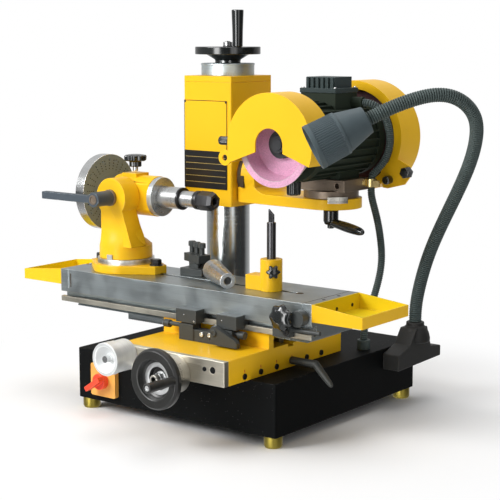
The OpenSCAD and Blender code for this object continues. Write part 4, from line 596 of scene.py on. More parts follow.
# Dark brown for painted shade: in the groove on the arm's boss, and in the table's seams, where it also
# stands for rust.
shade_and_rust_brown = turned("shade_and_rust_brown", (0.06, 0.04, 0.018), 0.5, "X", ARM_BOSS, metallic=0.0, specular=0.2)
feed_dial = graduated("feed_dial", (0.62, 0.60, 0.54), 0.26, "Y", FEED, 0.0005, 0.012, 0.032, 80.0, 0.2)
lift_scale = graduated("lift_scale", (0.58, 0.65, 0.67), 0.24, "Z", LIFT_DIAL, 0.0005, 0.010, 0.0505,
                       100.0, 0.12, metallic=0.8, mark_colour=(0.3, 0.3, 0.3))
swivel_scale = graduated("swivel_scale", (0.68, 0.68, 0.66), 0.25, "Z", WORKHEAD, 0.003, 0.0112,
                         0.0535, 180.0, 0.22)
arc_scale = graduated("arc_scale", (0.74, 0.72, 0.66), 0.25, "Z", PLATFORM, -0.006, 0.0045, 0.0572,
                      180.0, 0.22, mark_colour=(0.04, 0.04, 0.04))
print("finishes:", len(bpy.data.materials))

# %% [markdown]
# A grinding wheel is grit held in a bond. Each grain has its own tone, soft clouds run over them, and
# the grains stand up a little from the bond.

# %% Bonded abrasive
def make_abrasive():
    """Grains are the cells of a Voronoi pattern: the cell's colour sets the tone, the distance the height."""
    inputs = [("Vector", "Vector", ORIGIN), ("Bond", "Color", (1, 1, 1, 1))]
    tree, i, o = group("bonded_grain", inputs, SURFACE)
    grains = add(tree, "TexVoronoi", {"Vector": i["Vector"], "Scale": 900.0})
    clouds = noise(tree, i["Vector"], 45.0, 4.0, 0.6)
    sparkle = add(tree, "SeparateColor", {0: grains.outputs["Color"]}).outputs[0]
    tone = calc(tree, "MULTIPLY_ADD", sparkle, 0.3, 0.74)
    bond = vector_calc(tree, "SCALE", i["Bond"])
    tree.links.new(calc(tree, "MULTIPLY_ADD", clouds, 0.2, tone), bond.node.inputs["Scale"])
    tree.links.new(bond, o["Color"])
    tree.links.new(calc(tree, "MULTIPLY_ADD", clouds, 0.15, 0.75), o["Roughness"])
    tree.links.new(grains.outputs["Distance"], o["Height"])
    return tree


ABRASIVE = make_abrasive()


def bonded(name, bond):
    """An abrasive with its bond's colour."""
    return finish(name, ABRASIVE, {"Bond": rgb(*bond)}, bump=0.6, bump_mm=0.5, specular=0.1)


abrasive = bonded("abrasive", (0.58, 0.44, 0.48))
# A lighter bond for the inside of the front wheel's cup: painted light where the guard shades it.
cup_inside_painted_light = bonded("cup_inside_painted_light", (0.74, 0.40, 0.57))
# A dark bond for the rear wheel: painted shade for the inside of the rear guard.
rear_wheel_painted_shade = bonded("rear_wheel_painted_shade", (0.09, 0.045, 0.05))
print("finishes:", len(bpy.data.materials))

# %% [markdown]
# ## Rounded castings
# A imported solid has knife-sharp edges and is stored as loose triangles. Each rigid piece is copied,
# its triangles are merged into flat faces, and its edges get a narrow bevel, which is what makes
# painted iron look cast and machined steel look handled. The faces that the bevel adds are marked in
# an attribute, so that the paint knows where it wears.

# %% Rounding a solid
def soften(node, material, slot, width=0.8, flat=0.6, crease=32):
    """A copy of a CAD node with merged points, flat faces joined and edges bevelled, in the node's place."""
    source = NODES[node].data
    points = np.empty(len(source.vertices) * 3)
    source.vertices.foreach_get("co", points)
    corners = np.empty(len(source.loops), int)
    source.loops.foreach_get("vertex_index", corners)
    mesh = bpy.data.meshes.new(node + "_finished")
    mesh.from_pydata(points.reshape(-1, 3).tolist(), [], corners.reshape(-1, 3).tolist())
    bm = bmesh.new()
    bm.from_mesh(mesh)
    bmesh.ops.remove_doubles(bm, verts=bm.verts, dist=2e-6)
    if flat:
        bmesh.ops.dissolve_limit(bm, angle_limit=math.radians(flat), verts=bm.verts, edges=bm.edges)
    for face in bm.faces:
        face.smooth = True
    bm.to_mesh(mesh)
    bm.free()
    obj = bpy.data.objects.new(node + "_finished", mesh)
    bpy.context.scene.collection.objects.link(obj)
    mesh.materials.append(material)
    if width:
        mesh.materials.append(material)
        bevel = obj.modifiers.new("bevel", "BEVEL")
        bevel.width = width * MM
        bevel.segments = 2
        bevel.limit_method = "ANGLE"
        bevel.angle_limit = math.radians(crease)
        bevel.use_clamp_overlap = False
        bevel.harden_normals = True
        bevel.material = 1
        depsgraph = bpy.context.evaluated_depsgraph_get()
        done = bpy.data.meshes.new_from_object(obj.evaluated_get(depsgraph))
        obj.modifiers.clear()
        obj.data = done
        mark_edges(done)
    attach(obj, NODES[node]["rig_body"])
    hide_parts(node)
    return obj


def mark_edges(mesh):
    """Write the attribute "edge": 1 at the corners of faces that the bevel made, 0 elsewhere."""
    made = np.empty(len(mesh.polygons), int)
    mesh.polygons.foreach_get("material_index", made)
    totals = np.empty(len(mesh.polygons), int)
    mesh.polygons.foreach_get("loop_total", totals)
    attribute = mesh.attributes.new("edge", "FLOAT", "CORNER")
    attribute.data.foreach_set("value", np.repeat(made, totals).astype(np.float32))
    mesh.polygons.foreach_set("material_index", np.zeros(len(mesh.polygons), int))
    mesh.materials.pop()


CASTINGS = [
    ("base_box", base_paint, "black_paint", 1.2), ("feet", foot_brass, "brass", 0.8),
    ("column", column_chrome, "bright_steel", 0.6), ("switch_plate", switch_yellow, "switch_yellow", 1.0),
    ("lamp_bracket", foot_grey, "grey_plastic", 2.0), ("base_gland", hose_grey, "grey_plastic", 0.8),
    ("switch_knob", red_plastic, "red_plastic", 1.2), ("saddle", yellow_paint, "yellow_paint", 0.8),
    ("front_plate", plate_steel, "ground_steel", 0.6, 0), ("saddle_screws", black_metal, "black_metal", 0.5),
    ("stop_bracket", block_grey, "black_metal", 0.6),
    ("cross_screw", feed_dial, "aluminium", 0.6),
    ("table_knob", knob_aluminium, "aluminium", 0.8),
    ("table", ground_steel, "ground_steel", 0.6), ("tray_left", yellow_paint, "yellow_paint", 0.7),
    ("tray_right", yellow_paint, "yellow_paint", 0.7), ("table_dog", block_grey, "black_metal", 0.8),
    ("stop_dog_left", block_grey, "black_metal", 0.8), ("stop_dog_right", block_grey, "black_metal", 0.8),
    ("tool_fixture", block_grey, "black_metal", 0.8), ("taper_sleeve", sleeve_steel, "bright_steel", 0.6),
    ("rest_post", yellow_paint, "yellow_paint", 0.8), ("rest_rod", rest_steel, "black_metal", 0.5),
    ("workhead_base", yellow_paint, "yellow_paint", 1.0), ("swivel_ring", swivel_scale, "bright_steel", 0.5),
    ("workhead_bracket", yellow_paint, "yellow_paint", 1.2), ("tilt_lever", lever_grey, "black_metal", 1.5),
    ("spindle_housing", yellow_paint, "yellow_paint", 0.8),
    ("work_spindle", spindle_steel, "bright_steel", 0.6),
    ("index_disc", index_steel, "ground_steel", 0.5),
    ("head_box", yellow_paint, "yellow_paint", 0.4), ("lift_dial", lift_scale, "aluminium", 0.7),
    ("arm", yellow_paint, "yellow_paint", 1.0),
    ("swivel_plate", dark_steel, "dark_steel", 0.8),
    ("motor_housing", motor_paint, "black_metal", 0.5), ("front_guard", yellow_paint, "yellow_paint", 0.5),
    ("rear_guard", yellow_paint, "yellow_paint", 0.5),
    ("conduit_clip", brass, "brass", 0.6), ("grinding_wheels", abrasive, "abrasive", 0.8)]
softened = {row[0]: soften(*row) for row in CASTINGS}
print("rounded castings:", len(softened))

# %% [markdown]
# Some castings have two finishes. The faces that get the second one are picked by the place of their
# centres, in metres. On the rear wheel the second finish is painted shade, and inside the front wheel's
# cup and the trays it is painted light. Pieces that hardly show keep their imported mesh and only get a
# finish.

# %% Second finishes
def off_axis(a, b, centre):
    """Distance of the points a, b from an axis through the centre, which is in millimetres."""
    return np.hypot(a - centre[0] * MM, b - centre[1] * MM)


def second_finish(node, material, chosen):
    """Give another finish to the faces whose centre passes the test, which takes arrays of x, y and z."""
    mesh = softened[node].data
    mesh.materials.append(material)
    count = len(mesh.polygons)
    centres, index = np.empty(count * 3), np.empty(count, int)
    mesh.polygons.foreach_get("center", centres)
    mesh.polygons.foreach_get("material_index", index)
    index[chosen(*centres.reshape(-1, 3).T)] = len(mesh.materials) - 1
    mesh.polygons.foreach_set("material_index", index)


CUP_FLOOR, CUP_INSIDE, BETWEEN_WHEELS = -0.0705, 0.0628, 0.1
DISC_EDGE, FLANGE_EDGE, FLANGE_X = 0.0725, 0.0225, -0.2
RAIL_TOP, RAIL_BACK, LID_LOW = 0.212, -0.17, 0.584
TRAY_FLOOR, TRAY_FRONT, TRAY_BACK = 0.2185, -0.174, -0.035
WHEEL_XZ, WORK_YZ = WHEEL[::2], WORK[1:]

# The rear wheel gets its painted shade.
second_finish("grinding_wheels", rear_wheel_painted_shade, lambda x, y, z: y > BETWEEN_WHEELS)
# The inside of the front wheel's cup gets its painted light.
second_finish("grinding_wheels", cup_inside_painted_light,
              lambda x, y, z: (y < CUP_FLOOR) & (off_axis(x, z, WHEEL_XZ) < CUP_INSIDE))
second_finish("table", rail_steel, lambda x, y, z: (z < RAIL_TOP) & (y < RAIL_BACK))
second_finish("motor_housing", box_paint, lambda x, y, z: z > LID_LOW)
second_finish("index_disc", bright_steel, lambda x, y, z: off_axis(y, z, WORK_YZ) > DISC_EDGE)
second_finish("work_spindle", flange_steel,
              lambda x, y, z: (x > FLANGE_X) & (off_axis(y, z, WORK_YZ) > FLANGE_EDGE))
# Inside the trays the paint is lighter: painted light where the walls shade them.
for tray, x0, x1 in (("tray_right", 0.27, 0.367), ("tray_left", -0.417, -0.32)):
    second_finish(tray, tray_inside_painted_light, lambda x, y, z: (
        (x > x0) & (x < x1) & (y > TRAY_FRONT) & (y < TRAY_BACK) & (z > TRAY_FLOOR)))
INNER = {"feed_nuts": brass, "pinion_shaft": bright_steel, "table_rack": ground_steel,
         "lift_screw": bright_steel, "motor_shaft": wheel_steel, "lamp_bulb": bulb_glass}
for node, material in INNER.items():
    NODES[node].data.materials.clear()
    NODES[node].data.materials.append(material)
print("second finishes done, inner pieces refinished:", len(INNER))

# %% [markdown]
# ## Hoses
# The lamp stands on a stiff ribbed gooseneck, and a thinner ribbed conduit brings the motor's wires
# up from the base. A hose is a ring carried along a smooth route while its radius ripples. The routes
# are the ones the solids follow. The conduit hangs across three joints, so it is cut into three lengths.

# %% Routes
def smooth_route(points, count):
    """Even cubic B-spline through the control points, its ends held by points reflected past them."""
    p = np.asarray(points, float)
    q = np.concatenate([2 * p[:1] - p[1:2], p, 2 * p[-1:] - p[-2:-1]])
    place = np.linspace(0, len(p) - 1, count)
    i = np.minimum(place.astype(int), len(p) - 2)
    t = (place - i)[:, None]
    return ((1 - t) ** 3 * q[i] + (3 * t ** 3 - 6 * t ** 2 + 4) * q[i + 1]
            + (-3 * t ** 3 + 3 * t ** 2 + 3 * t + 1) * q[i + 2] + t ** 3 * q[i + 3]) / 6


def evened(route, count):
    """The route with points spaced evenly along its length."""
    along = np.concatenate([[0], np.cumsum(np.linalg.norm(np.diff(route, axis=0), axis=1))])
    want = np.linspace(0, along[-1], count)
    return np.stack([np.interp(want, along, route[:, k]) for k in range(3)], -1), along[-1]


def hose_shape(route, radius, pitch, depth, sides=24, steps=6, aside=(1, 0, 0)):
    """A closed tube along the route: the radius dips by depth between ribs that are one pitch apart."""
    length = np.linalg.norm(np.diff(route, axis=0), axis=1).sum()
    ribs = max(2, round(length / pitch))
    line, length = evened(route, ribs * steps + 1)
    heading = np.gradient(line, axis=0)
    heading /= np.linalg.norm(heading, axis=1)[:, None]
    u = np.cross(heading, aside)
    u /= np.linalg.norm(u, axis=1)[:, None]
    v = np.cross(heading, u)
    ripple = np.abs(np.sin(np.pi * np.arange(len(line)) / steps)) ** 0.7
    ring = radius - depth * (1 - ripple)
    turn = np.linspace(0, 2 * np.pi, sides, endpoint=False)
    out = np.cos(turn)[:, None] * u[:, None] + np.sin(turn)[:, None] * v[:, None]
    body = line[:, None] + ring[:, None, None] * out
    points = np.concatenate([line[:1].repeat(sides, 0)[None], body, line[-1:].repeat(sides, 0)[None]])
    return points.reshape(-1, 3) * MM, grid_faces(len(points), sides)


# The crest level lightens and the groove level darkens the hose's colour: a painted highlight on each rib and
# painted shade in each groove.
CREST_HIGHLIGHT, GROOVE_SHADE = 1.0, -1.6


def rib_shade_and_highlight(obj, route, radius, depth):
    """Write the attribute "edge" from each point's distance to the route: high on crests for a painted
    highlight, low in grooves for painted shade.
    """
    points = np.empty(len(obj.data.vertices) * 3)
    obj.data.vertices.foreach_get("co", points)
    line = evened(route, 900)[0] * MM
    away = np.array([np.linalg.norm(line - point, axis=1).min() for point in points.reshape(-1, 3)]) / MM
    tone = GROOVE_SHADE + (CREST_HIGHLIGHT - GROOVE_SHADE) * np.clip((away - radius + depth) / depth, 0, 1)
    obj.data.attributes.new("edge", "FLOAT", "POINT").data.foreach_set("value", tone.astype(np.float32))


def hose(name, route, ribs, body=None, replaces=(), sides=24, aside=(1, 0, 0)):
    """A hose along the route, a painted highlight on its ribs and painted shade in its grooves; ribs holds
    the radius, the pitch and the depth.
    """
    radius, pitch, depth = ribs
    shape = hose_shape(route, radius, pitch, depth, sides=sides, aside=aside)
    obj = piece(name, shape, body, hose_grey, replaces, crease=60)
    rib_shade_and_highlight(obj, route, radius, depth)
    return obj


print("hose shapes ready")

# %% [markdown]
# The gooseneck runs from the base to the lamp.

# %% Gooseneck
GOOSENECK = [
    (250, 190, 156), (250, 190, 186), (262, 184, 230), (286, 172, 290), (324, 155, 354), (368, 135, 420),
    (406, 110, 478), (432, 80, 530), (438, 52, 562), (428, 20, 586), (406, -10, 594), (380, -42, 586),
    (354, -72, 572), (339, -86, 562), (324, -100, 552)]
DROP = [
    (194, 118, 412), (194, 118, 396), (197, 126, 372), (200, 136, 340), (200, 145, 306), (200, 149, 280),
    (200, 145, 250), (200, 128, 215), (200, 106, 178), (200, 90, 150), (200, 90, 132)]
UPPER = [
    (192, 92, 568), (208, 92, 568), (221, 108, 556), (226, 124, 526), (226, 130, 500), (222, 132, 478),
    (211, 130, 454), (196, 120, 438), (194, 118, 428), (194, 118, 412.3)]
CONDUIT_R, GOOSENECK_R = 7, 12
CONDUIT_RIBS, GOOSENECK_RIBS = (CONDUIT_R, 3.8, 1.5), (GOOSENECK_R, 4.2, 2.0)

gooseneck_route, gooseneck_length = evened(smooth_route(GOOSENECK, 800), 400)
gooseneck = hose("gooseneck_tube", gooseneck_route, GOOSENECK_RIBS, aside=(1, -0.4, 0))
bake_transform(gooseneck)
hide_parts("gooseneck")
print("gooseneck: %.0f mm long" % gooseneck_length)

# %% [markdown]
# The conduit's upper length rides on the motor. The lower one is cut at the arm and at the head box.


upper_route, upper_length = evened(smooth_route(UPPER, 400), 120)
upper = hose("conduit_upper_tube", upper_route, CONDUIT_RIBS, "wheelhead", ("conduit_upper",), sides=20,
             aside=(0.3, 1, 0.2))

drop_route, drop_length = evened(smooth_route(DROP, 600), 301)
DROP_PARTS = [("conduit_top", "wheelhead", "arm", 0, 90), ("conduit_middle", "arm", "wheelhead_box", 90, 180),
              ("conduit_foot", "wheelhead_box", "base", 180, 300)]
for name, first, second, i, j in DROP_PARTS:
    run = drop_route[i:j + 1]
    tube = hose(name, run, CONDUIT_RIBS, sides=20)
    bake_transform(tube)
    if i == 0:
        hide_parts("conduit_drop")
print("conduit: %.0f mm above the clip, %.0f mm below" % (upper_length, drop_length))

# %% [markdown]
# ## Lamp
# The lamp is a moulded shell: a smooth cone at the neck, a step, and a long hood whose outside has
# fine grooves to keep it cool. It is a turned profile, out along the outside and back along the
# inside, whose outer radius also ripples round the turn between the step and the rim.

# %% Lamp
LAMP_NECK = np.array((324, -100, 552), float)
LAMP_PITCH, LAMP_YAW = math.radians(117), math.radians(223)
LAMP_AXIS = np.array((math.sin(LAMP_PITCH) * math.cos(LAMP_YAW), math.sin(LAMP_PITCH) * math.sin(LAMP_YAW),
                      math.cos(LAMP_PITCH)))
LAMP_FOOT = (250, 190, 0)
LAMP_RIBS, LAMP_RIB_DEPTH = 60, 1.2
RIB_FROM, RIB_TO, RIB_INSIDE = 52, 93, 37
LAMP_PROFILE = (
    [(0, 0.5), (14, 0.5), (23.5, 0.5), (24.5, 6), (34.2, 42), (35, 46), (37, 46.8), (37.4, 52)]
    + [(37.5 + 0.25 * k, 56 + 8 * k) for k in range(5)]
    + [(38.6, 92), (39, 96), (39, 101.5), (36.5, 101.5), (34.5, 49.5), (21.5, 4.5), (0, 4.5)])


def lamp_shape(sides=360):
    """The turned profile, with grooves: where the height is between the two rib ends, on the outside only."""
    profile = eased(LAMP_PROFILE, 1.2)
    points, faces = turned_shape(profile, LAMP_NECK, LAMP_AXIS, ease=0, sides=sides)
    u, v, w = axes_of(LAMP_AXIS)
    turn = np.linspace(0, 2 * np.pi, sides, endpoint=False)
    out = np.cos(turn)[:, None] * u + np.sin(turn)[:, None] * v
    ribbed = (profile[:, 1] > RIB_FROM) & (profile[:, 1] < RIB_TO) & (profile[:, 0] > RIB_INSIDE)
    groove = LAMP_RIB_DEPTH * np.clip(np.cos(LAMP_RIBS * turn) * 1.6, -1, 0)
    moved = points.reshape(len(profile), sides, 3) + (ribbed[:, None] * groove)[..., None] * out * MM
    return moved.reshape(-1, 3), faces


lamp_shade = piece("lamp_hood", lamp_shape(), "lamp", lamp_grey, ("lamp_shade",), crease=50)
foot_dome = turned_shape([
    (0, 118), (28, 118), (28.5, 125), (26, 136), (20.5, 146), (15, 151), (13, 156), (0, 156)],
    LAMP_FOOT, UP, ease=3, sides=96)
piece("lamp_foot_dome", foot_dome, "base", foot_grey, crease=60)
print("lamp hood:", len(lamp_shade.data.polygons), "faces")

# %% [markdown]
# ## Hand knobs
# The clamping knobs are lobed stars moulded in glossy black. A star is a turned shape whose radius
# swells several times round the turn. The one on the table is a wide dome, the one on the rest a
# small star, and the one on the spindle housing a cap on a ribbed neck and a steel stud.

# %% Star knobs
def dome_profile(radius, height, stem, tail):
    """A stem, a narrow back, a full rim and a shallow dome, as radius and height pairs."""
    shares = [(0.52, 0), (0.92, 0.1), (1, 0.28), (0.98, 0.46), (0.87, 0.7), (0.64, 0.88), (0.34, 0.98),
              (0, 1)]
    return ([(0, -tail), (stem, -tail), (stem, -0.1 * height)]
            + [(across * radius, up * height) for across, up in shares])


HOUSING_TOP = (-214, -75, 441)
CAP_PROFILE = [(0, 0), (10.6, 0), (11.6, 1), (11.6, 10.5), (17.5, 11), (19.8, 12.5), (20.2, 20), (19, 22),
               (11, 23.6), (0, 24)]
STARS = [
    ("table_star", "table_clamp", (224, -196, 223.6), FRONT, dome_profile(22, 16, 5, 20), 7, 0.08),
    ("rest_star", "rest_clamp", (151, -126, 283.1), (1, -1, 0), dome_profile(11, 10, 4, 8), 6, 0.18),
    ("housing_star", "head_clamp", HOUSING_TOP, UP, CAP_PROFILE, 10, 0.08)]
for node, body, centre, axis, profile, lobes, depth in STARS:
    shape = turned_shape(profile, centre, axis, ease=1.6, sides=lobes * 20, lobes=lobes, lobe_depth=depth)
    piece(node + "_knob", shape, body, black_plastic, (node,), crease=60)
stud = turned_shape([(0, -8), (5, -8), (5, 0.2), (0, 0.2)], HOUSING_TOP, UP, ease=0.3)
piece("housing_stud", stud, "head_clamp", bright_steel)
print("star knobs:", len(STARS))

# %% [markdown]
# ## Handwheels
# A handwheel is one turned profile: a hub, a coned web, and a flat-sided rim. The front one is dished,
# with a bright machined ring round the sunk hub. Its grip is a plain black handle with a screw in its
# end.

# %% Front handwheel
def beside(place, axis, across, radius, degrees):
    """A point at that radius and turn from the place, in the plane square to the axis."""
    across = np.asarray(across, float)
    turn = math.radians(degrees)
    return place + radius * (math.cos(turn) * across + math.sin(turn) * np.cross(axis, across))


FEED_PLACE = np.array(FEED, float)
grip_foot = beside(FEED_PLACE, FRONT, RIGHT, 44, 7)
dish = turned_shape([
    (8.2, 0), (15, 0), (15, 7), (30, 13.5), (37, 16.5), (48.5, 17), (52, 20.5), (52, 28.5), (48.8, 32.6),
    (47.8, 33), (36, 33), (34.2, 31.8), (32.5, 22), (28.6, 19.5), (19.4, 19.5), (18.6, 18.5), (18.6, 11),
    (8.2, 11), (8.2, 0)], FEED_PLACE, FRONT, ease=0.7, sides=144)
grip = turned_shape([
    (0, 20), (5, 20), (5, 32.8), (7.4, 33.4), (7.7, 40), (8.5, 94), (8.3, 96.6), (7, 97.7), (5.2, 98),
    (5.2, 95.5), (0, 95.5)], grip_foot, FRONT, ease=0.8, sides=48)
piece("front_handwheel", join(dish, grip), "cross_feed", wheel_plastic, ("cross_wheel",),
      crease=50)
ring = turned_shape([(20, 19.3), (20, 20.3), (24, 20.5), (27.8, 20.3), (27.8, 19.3)], FEED_PLACE, FRONT,
                    ease=0.3, sides=144)
grip_screw = turned_shape([(4.6, 95.3), (4.6, 97), (2, 97), (2, 95.6), (0, 95.6)], grip_foot, FRONT,
                          ease=0.3, sides=32)
nut = turned_shape([(11.5, 11), (11.5, 13), (0, 13)], FEED_PLACE, FRONT, ease=0.4)
shaft_end = turned_shape([(6.5, 12), (6.5, 31), (5.5, 32), (0, 32)], FEED_PLACE, FRONT, ease=0.5, sides=40)
hexagon = turned_shape([(9.8, 12.5), (9.8, 21), (8.4, 22.2), (0, 22.2)], FEED_PLACE, FRONT, ease=0.5, sides=6)
piece("front_wheel_fittings", join(ring, grip_screw, nut, shaft_end, hexagon), "cross_feed", aluminium,
      crease=30)
print("front handwheel made")

# %% [markdown]
# The top wheel is a flat disc on a cone, with a dome nut and two set screws in the hub.

# %% Top handwheel
LIFT_PLACE = np.array((-112, 80, 635.3))
SET_SCREWS = [(0.278, -0.961, 0), (0.741, -0.671, 0)]
SCREW_OUT, SCREW_UP = 24.3, (0, 0, 3)

lift_foot = beside(LIFT_PLACE, UP, RIGHT, 55.5, -32)
disc = turned_shape([
    (10.2, 0), (24.5, 0), (24.5, 4.5), (25.5, 7), (41, 16.2), (44, 16.8), (62.2, 16.8), (63, 17.8),
    (63, 30.4), (62, 31.2), (12, 31.2), (10.2, 30), (10.2, 0)], LIFT_PLACE, UP, ease=0.8, sides=160)
lift_grip = turned_shape([
    (0, 22), (7, 22), (7, 31.4), (9.6, 32), (10, 60), (11.4, 98), (11.2, 99.6), (10, 100.5), (0, 100.5)],
    lift_foot, UP, ease=0.9, sides=64)
piece("top_handwheel", join(disc, lift_grip), "lift_drive", black_plastic, ("lift_wheel",),
      crease=50)
dots = [turned_shape([(2.3, 0), (2.3, 0.5), (1.2, 0.5), (1.2, 0.1), (0, 0.1)],
                     LIFT_PLACE + SCREW_OUT * np.array(out) + SCREW_UP, out, ease=0.1, sides=20)
        for out in SET_SCREWS]
piece("top_wheel_screws", join(*dots), "lift_drive", aluminium, crease=30)
dome = turned_shape([(9.5, 31), (9.5, 33), (8, 33.5), (8, 37), (6.6, 40), (3.5, 41.6), (0, 42)],
                    LIFT_PLACE, UP, ease=0.8, sides=40)
piece("top_wheel_nut", dome, "lift_drive", black_metal, crease=40)
print("top handwheel made")

# %% [markdown]
# ## Levers
# The lever under the arm has a bell-shaped hub and a round handle that thickens to its end. The saddle's
# lever is a plain rod on a long hub.

# %% Levers
CLAMP_TOP, CLAMP_HANDLE, CLAMP_AXIS = (131, 80, 374.7), (131, 80, 346.7), (0.925, -0.374, -0.07)
SADDLE_PIVOT, SADDLE_ELBOW, SADDLE_ARM = (175.3, -105, 126), (228, -105, 126), (0.788, -0.2106, -0.5786)

hub = turned_shape([
    (0, 0), (10.5, 0), (10.5, 4), (14, 6), (14, 26), (11.5, 32), (7, 33.4), (6.5, 34), (6.5, 39), (5, 40),
    (0, 40)],
    CLAMP_TOP, DOWN, ease=1.0, sides=64)
handle = turned_shape([(0, 0), (8, 4), (8.4, 26), (9.2, 52), (8.8, 76), (7.4, 94), (4.6, 103), (0, 105)],
                      CLAMP_HANDLE, CLAMP_AXIS, ease=8, sides=40)
piece("clamp_handle", join(hub, handle), "swivel_clamp", black_plastic, ("clamp_lever",),
      crease=50)
saddle_hub = turned_shape([(0, 0), (7, 0), (7, 52), (6.4, 56), (4, 59), (0, 59.7)], SADDLE_PIVOT, RIGHT,
                          ease=2.5, sides=48)
saddle_arm = turned_shape([
    (0, -5), (5.5, -4), (6.8, 4), (6.2, 24), (5.2, 44), (4.2, 50), (2.2, 53.4), (0, 54)],
    SADDLE_ELBOW, SADDLE_ARM, ease=4, sides=48)
piece("saddle_handle", join(saddle_hub, saddle_arm), "saddle_clamp", lever_matte,
      ("saddle_lever",), crease=50)
print("levers: under the arm and on the saddle")

# %% [markdown]
# The guards are held by a small ribbed thumb screw, a fluted knob and two bolts, all black. The tilt
# lever turns in a dark steel collar and ends in a cap.

# %% Guard fasteners and tilt collar
def knob_profile(radius, height, sunk=0.0):
    """A plain round head: straight sides, eased rim and, if sunk, a shallow socket in its face."""
    socket = [(0.5 * radius, height), (0.5 * radius, height - sunk)] if sunk else []
    head = [(0, 0), (radius, 0), (radius, 0.8 * height), (0.9 * radius, height)]
    return head + socket + [(0, height - sunk)]


thumb = turned_shape([(0, 0), (5, 0), (5, 4), (7.2, 5), (7.5, 24), (6.6, 25), (0, 25)],
                     (39.7, -101, 503.3), LEFT, ease=0.6, sides=160, lobes=16, lobe_depth=0.05)
fluted = turned_shape([(0, 0), (11, 0), (12.4, 3), (12.8, 24), (9, 30), (0, 30)], (131, -38, 407.4), UP,
                      ease=1.5, sides=160, lobes=10, lobe_depth=0.06)
round_bolt = turned_shape(knob_profile(8, 15), (212, 152, 424.3), FRONT, ease=1.0, sides=40)
hex_bolt = turned_shape([(0, 0), (11, 0), (11, 13.5), (9.6, 15), (0, 15)], (252, 152, 440.3), FRONT,
                        ease=0.8, sides=6, start=0.2)
piece("guard_fasteners", join(thumb, fluted, round_bolt, hex_bolt), "wheelhead", black_plastic,
      ("guard_knobs",), crease=40)
TILT_PIVOT = (-214, -145, 388.1)
collar = turned_shape([(13, 0.3), (15.5, 0.3), (15.5, 6), (13, 6)], TILT_PIVOT, FRONT, ease=0.6, sides=64)
cap = turned_shape([(0, 46), (9, 46), (9, 48.6), (6, 48.6), (6, 47.4), (0, 47.4)], TILT_PIVOT, FRONT,
                   ease=0.4, sides=48)
piece("tilt_collar", join(collar, cap), "tilt_clamp", dark_steel, crease=30)
print("guard fasteners and tilt collar made")

# %% [markdown]
# The stop lever is a wedge cut from flat bar, with a pivot screw in its thick end.

# %% Stop wedge
def prism_shape(outline, y0, y1):
    """A closed prism: the outline in x and z at y0 and again at y1, each end closed to its middle point."""
    flat = np.asarray(outline, float)
    middle = np.broadcast_to(flat.mean(axis=0), flat.shape)
    rows = [np.insert(ring, 1, y, axis=1) for ring, y in ((middle, y0), (flat, y0), (flat, y1), (middle, y1))]
    return np.concatenate(rows) * MM, grid_faces(4, len(flat))


WEDGE_FRONT, WEDGE_BACK = -212, -202.5
WEDGE = [(80, 167), (80, 188), (84, 193), (91, 192), (134, 173), (138, 168), (138, 160), (96, 160), (86, 162)]
wedge = prism_shape(WEDGE, WEDGE_FRONT, WEDGE_BACK)
pivot = turned_shape(knob_profile(6, 2.5, 0.8), (88, WEDGE_FRONT, 181), FRONT, ease=0.4, sides=32)
piece("stop_wedge", join(wedge, pivot), "stop_trip", block_grey, ("stop_lever",), crease=30)
print("stop wedge:", len(WEDGE), "corners")

# %% [markdown]
# The workhead's leg flares into its round disc, as a casting does. Its outline goes from an oblong to
# a circle on the way down.

# %% Leg fillet
LEG_LOW, LEG_HIGH, LEG_FRONT, LEG_BACK = 292.0, 337.0, 40.4, 0.4
LEG_LEFT, LEG_RIGHT_LOW, LEG_RIGHT_HIGH, DISC_R, SKIRT_LOW = 26.0, 51.0, 37.1, 50.2, 273.4
LEG_INSET, LEG_MIDDLE = 0.4, -110


def leg_fillet(levels=20, columns=96):
    """Going down, the leg's oblong swells into the disc's circle in an S-shaped curve, then runs straight."""
    drop = np.linspace(1, 0, levels)[:, None]
    turn = np.linspace(0, 2 * np.pi, columns, endpoint=False)
    c, s = np.cos(turn), np.sin(turn)
    side = np.where(c > 0, LEG_RIGHT_HIGH + (LEG_RIGHT_LOW - LEG_RIGHT_HIGH) * drop, LEG_LEFT)
    depth = np.where(s < 0, LEG_FRONT, LEG_BACK)
    oblong = np.minimum(side / np.maximum(np.abs(c), 1e-6), depth / np.maximum(np.abs(s), 1e-6)) - LEG_INSET
    radius = oblong + (DISC_R - oblong) * drop ** 2 * (3 - 2 * drop)
    height = LEG_HIGH + (LEG_LOW - LEG_HIGH) * np.broadcast_to(drop, radius.shape)
    body = np.stack([WORKHEAD[0] + radius * c, WORKHEAD[1] + radius * s, height], -1)
    skirt = np.stack([body[0, :, 0], body[0, :, 1], np.full(columns, SKIRT_LOW)], -1)[None]
    low, high = [np.broadcast_to((WORKHEAD[0], LEG_MIDDLE, z), (1, columns, 3))
                 for z in (SKIRT_LOW, LEG_HIGH)]
    return np.concatenate([low, skirt, body, high]).reshape(-1, 3) * MM, grid_faces(levels + 3, columns)


piece("leg_fillet", leg_fillet(), "work_bracket", yellow_paint, crease=50)
print("leg fillet from", LEG_HIGH, "down to", LEG_LOW, "mm")

# %% [markdown]
# The spindle ends in a black collet nut: a round collar, then a hexagon that narrows to the bore.

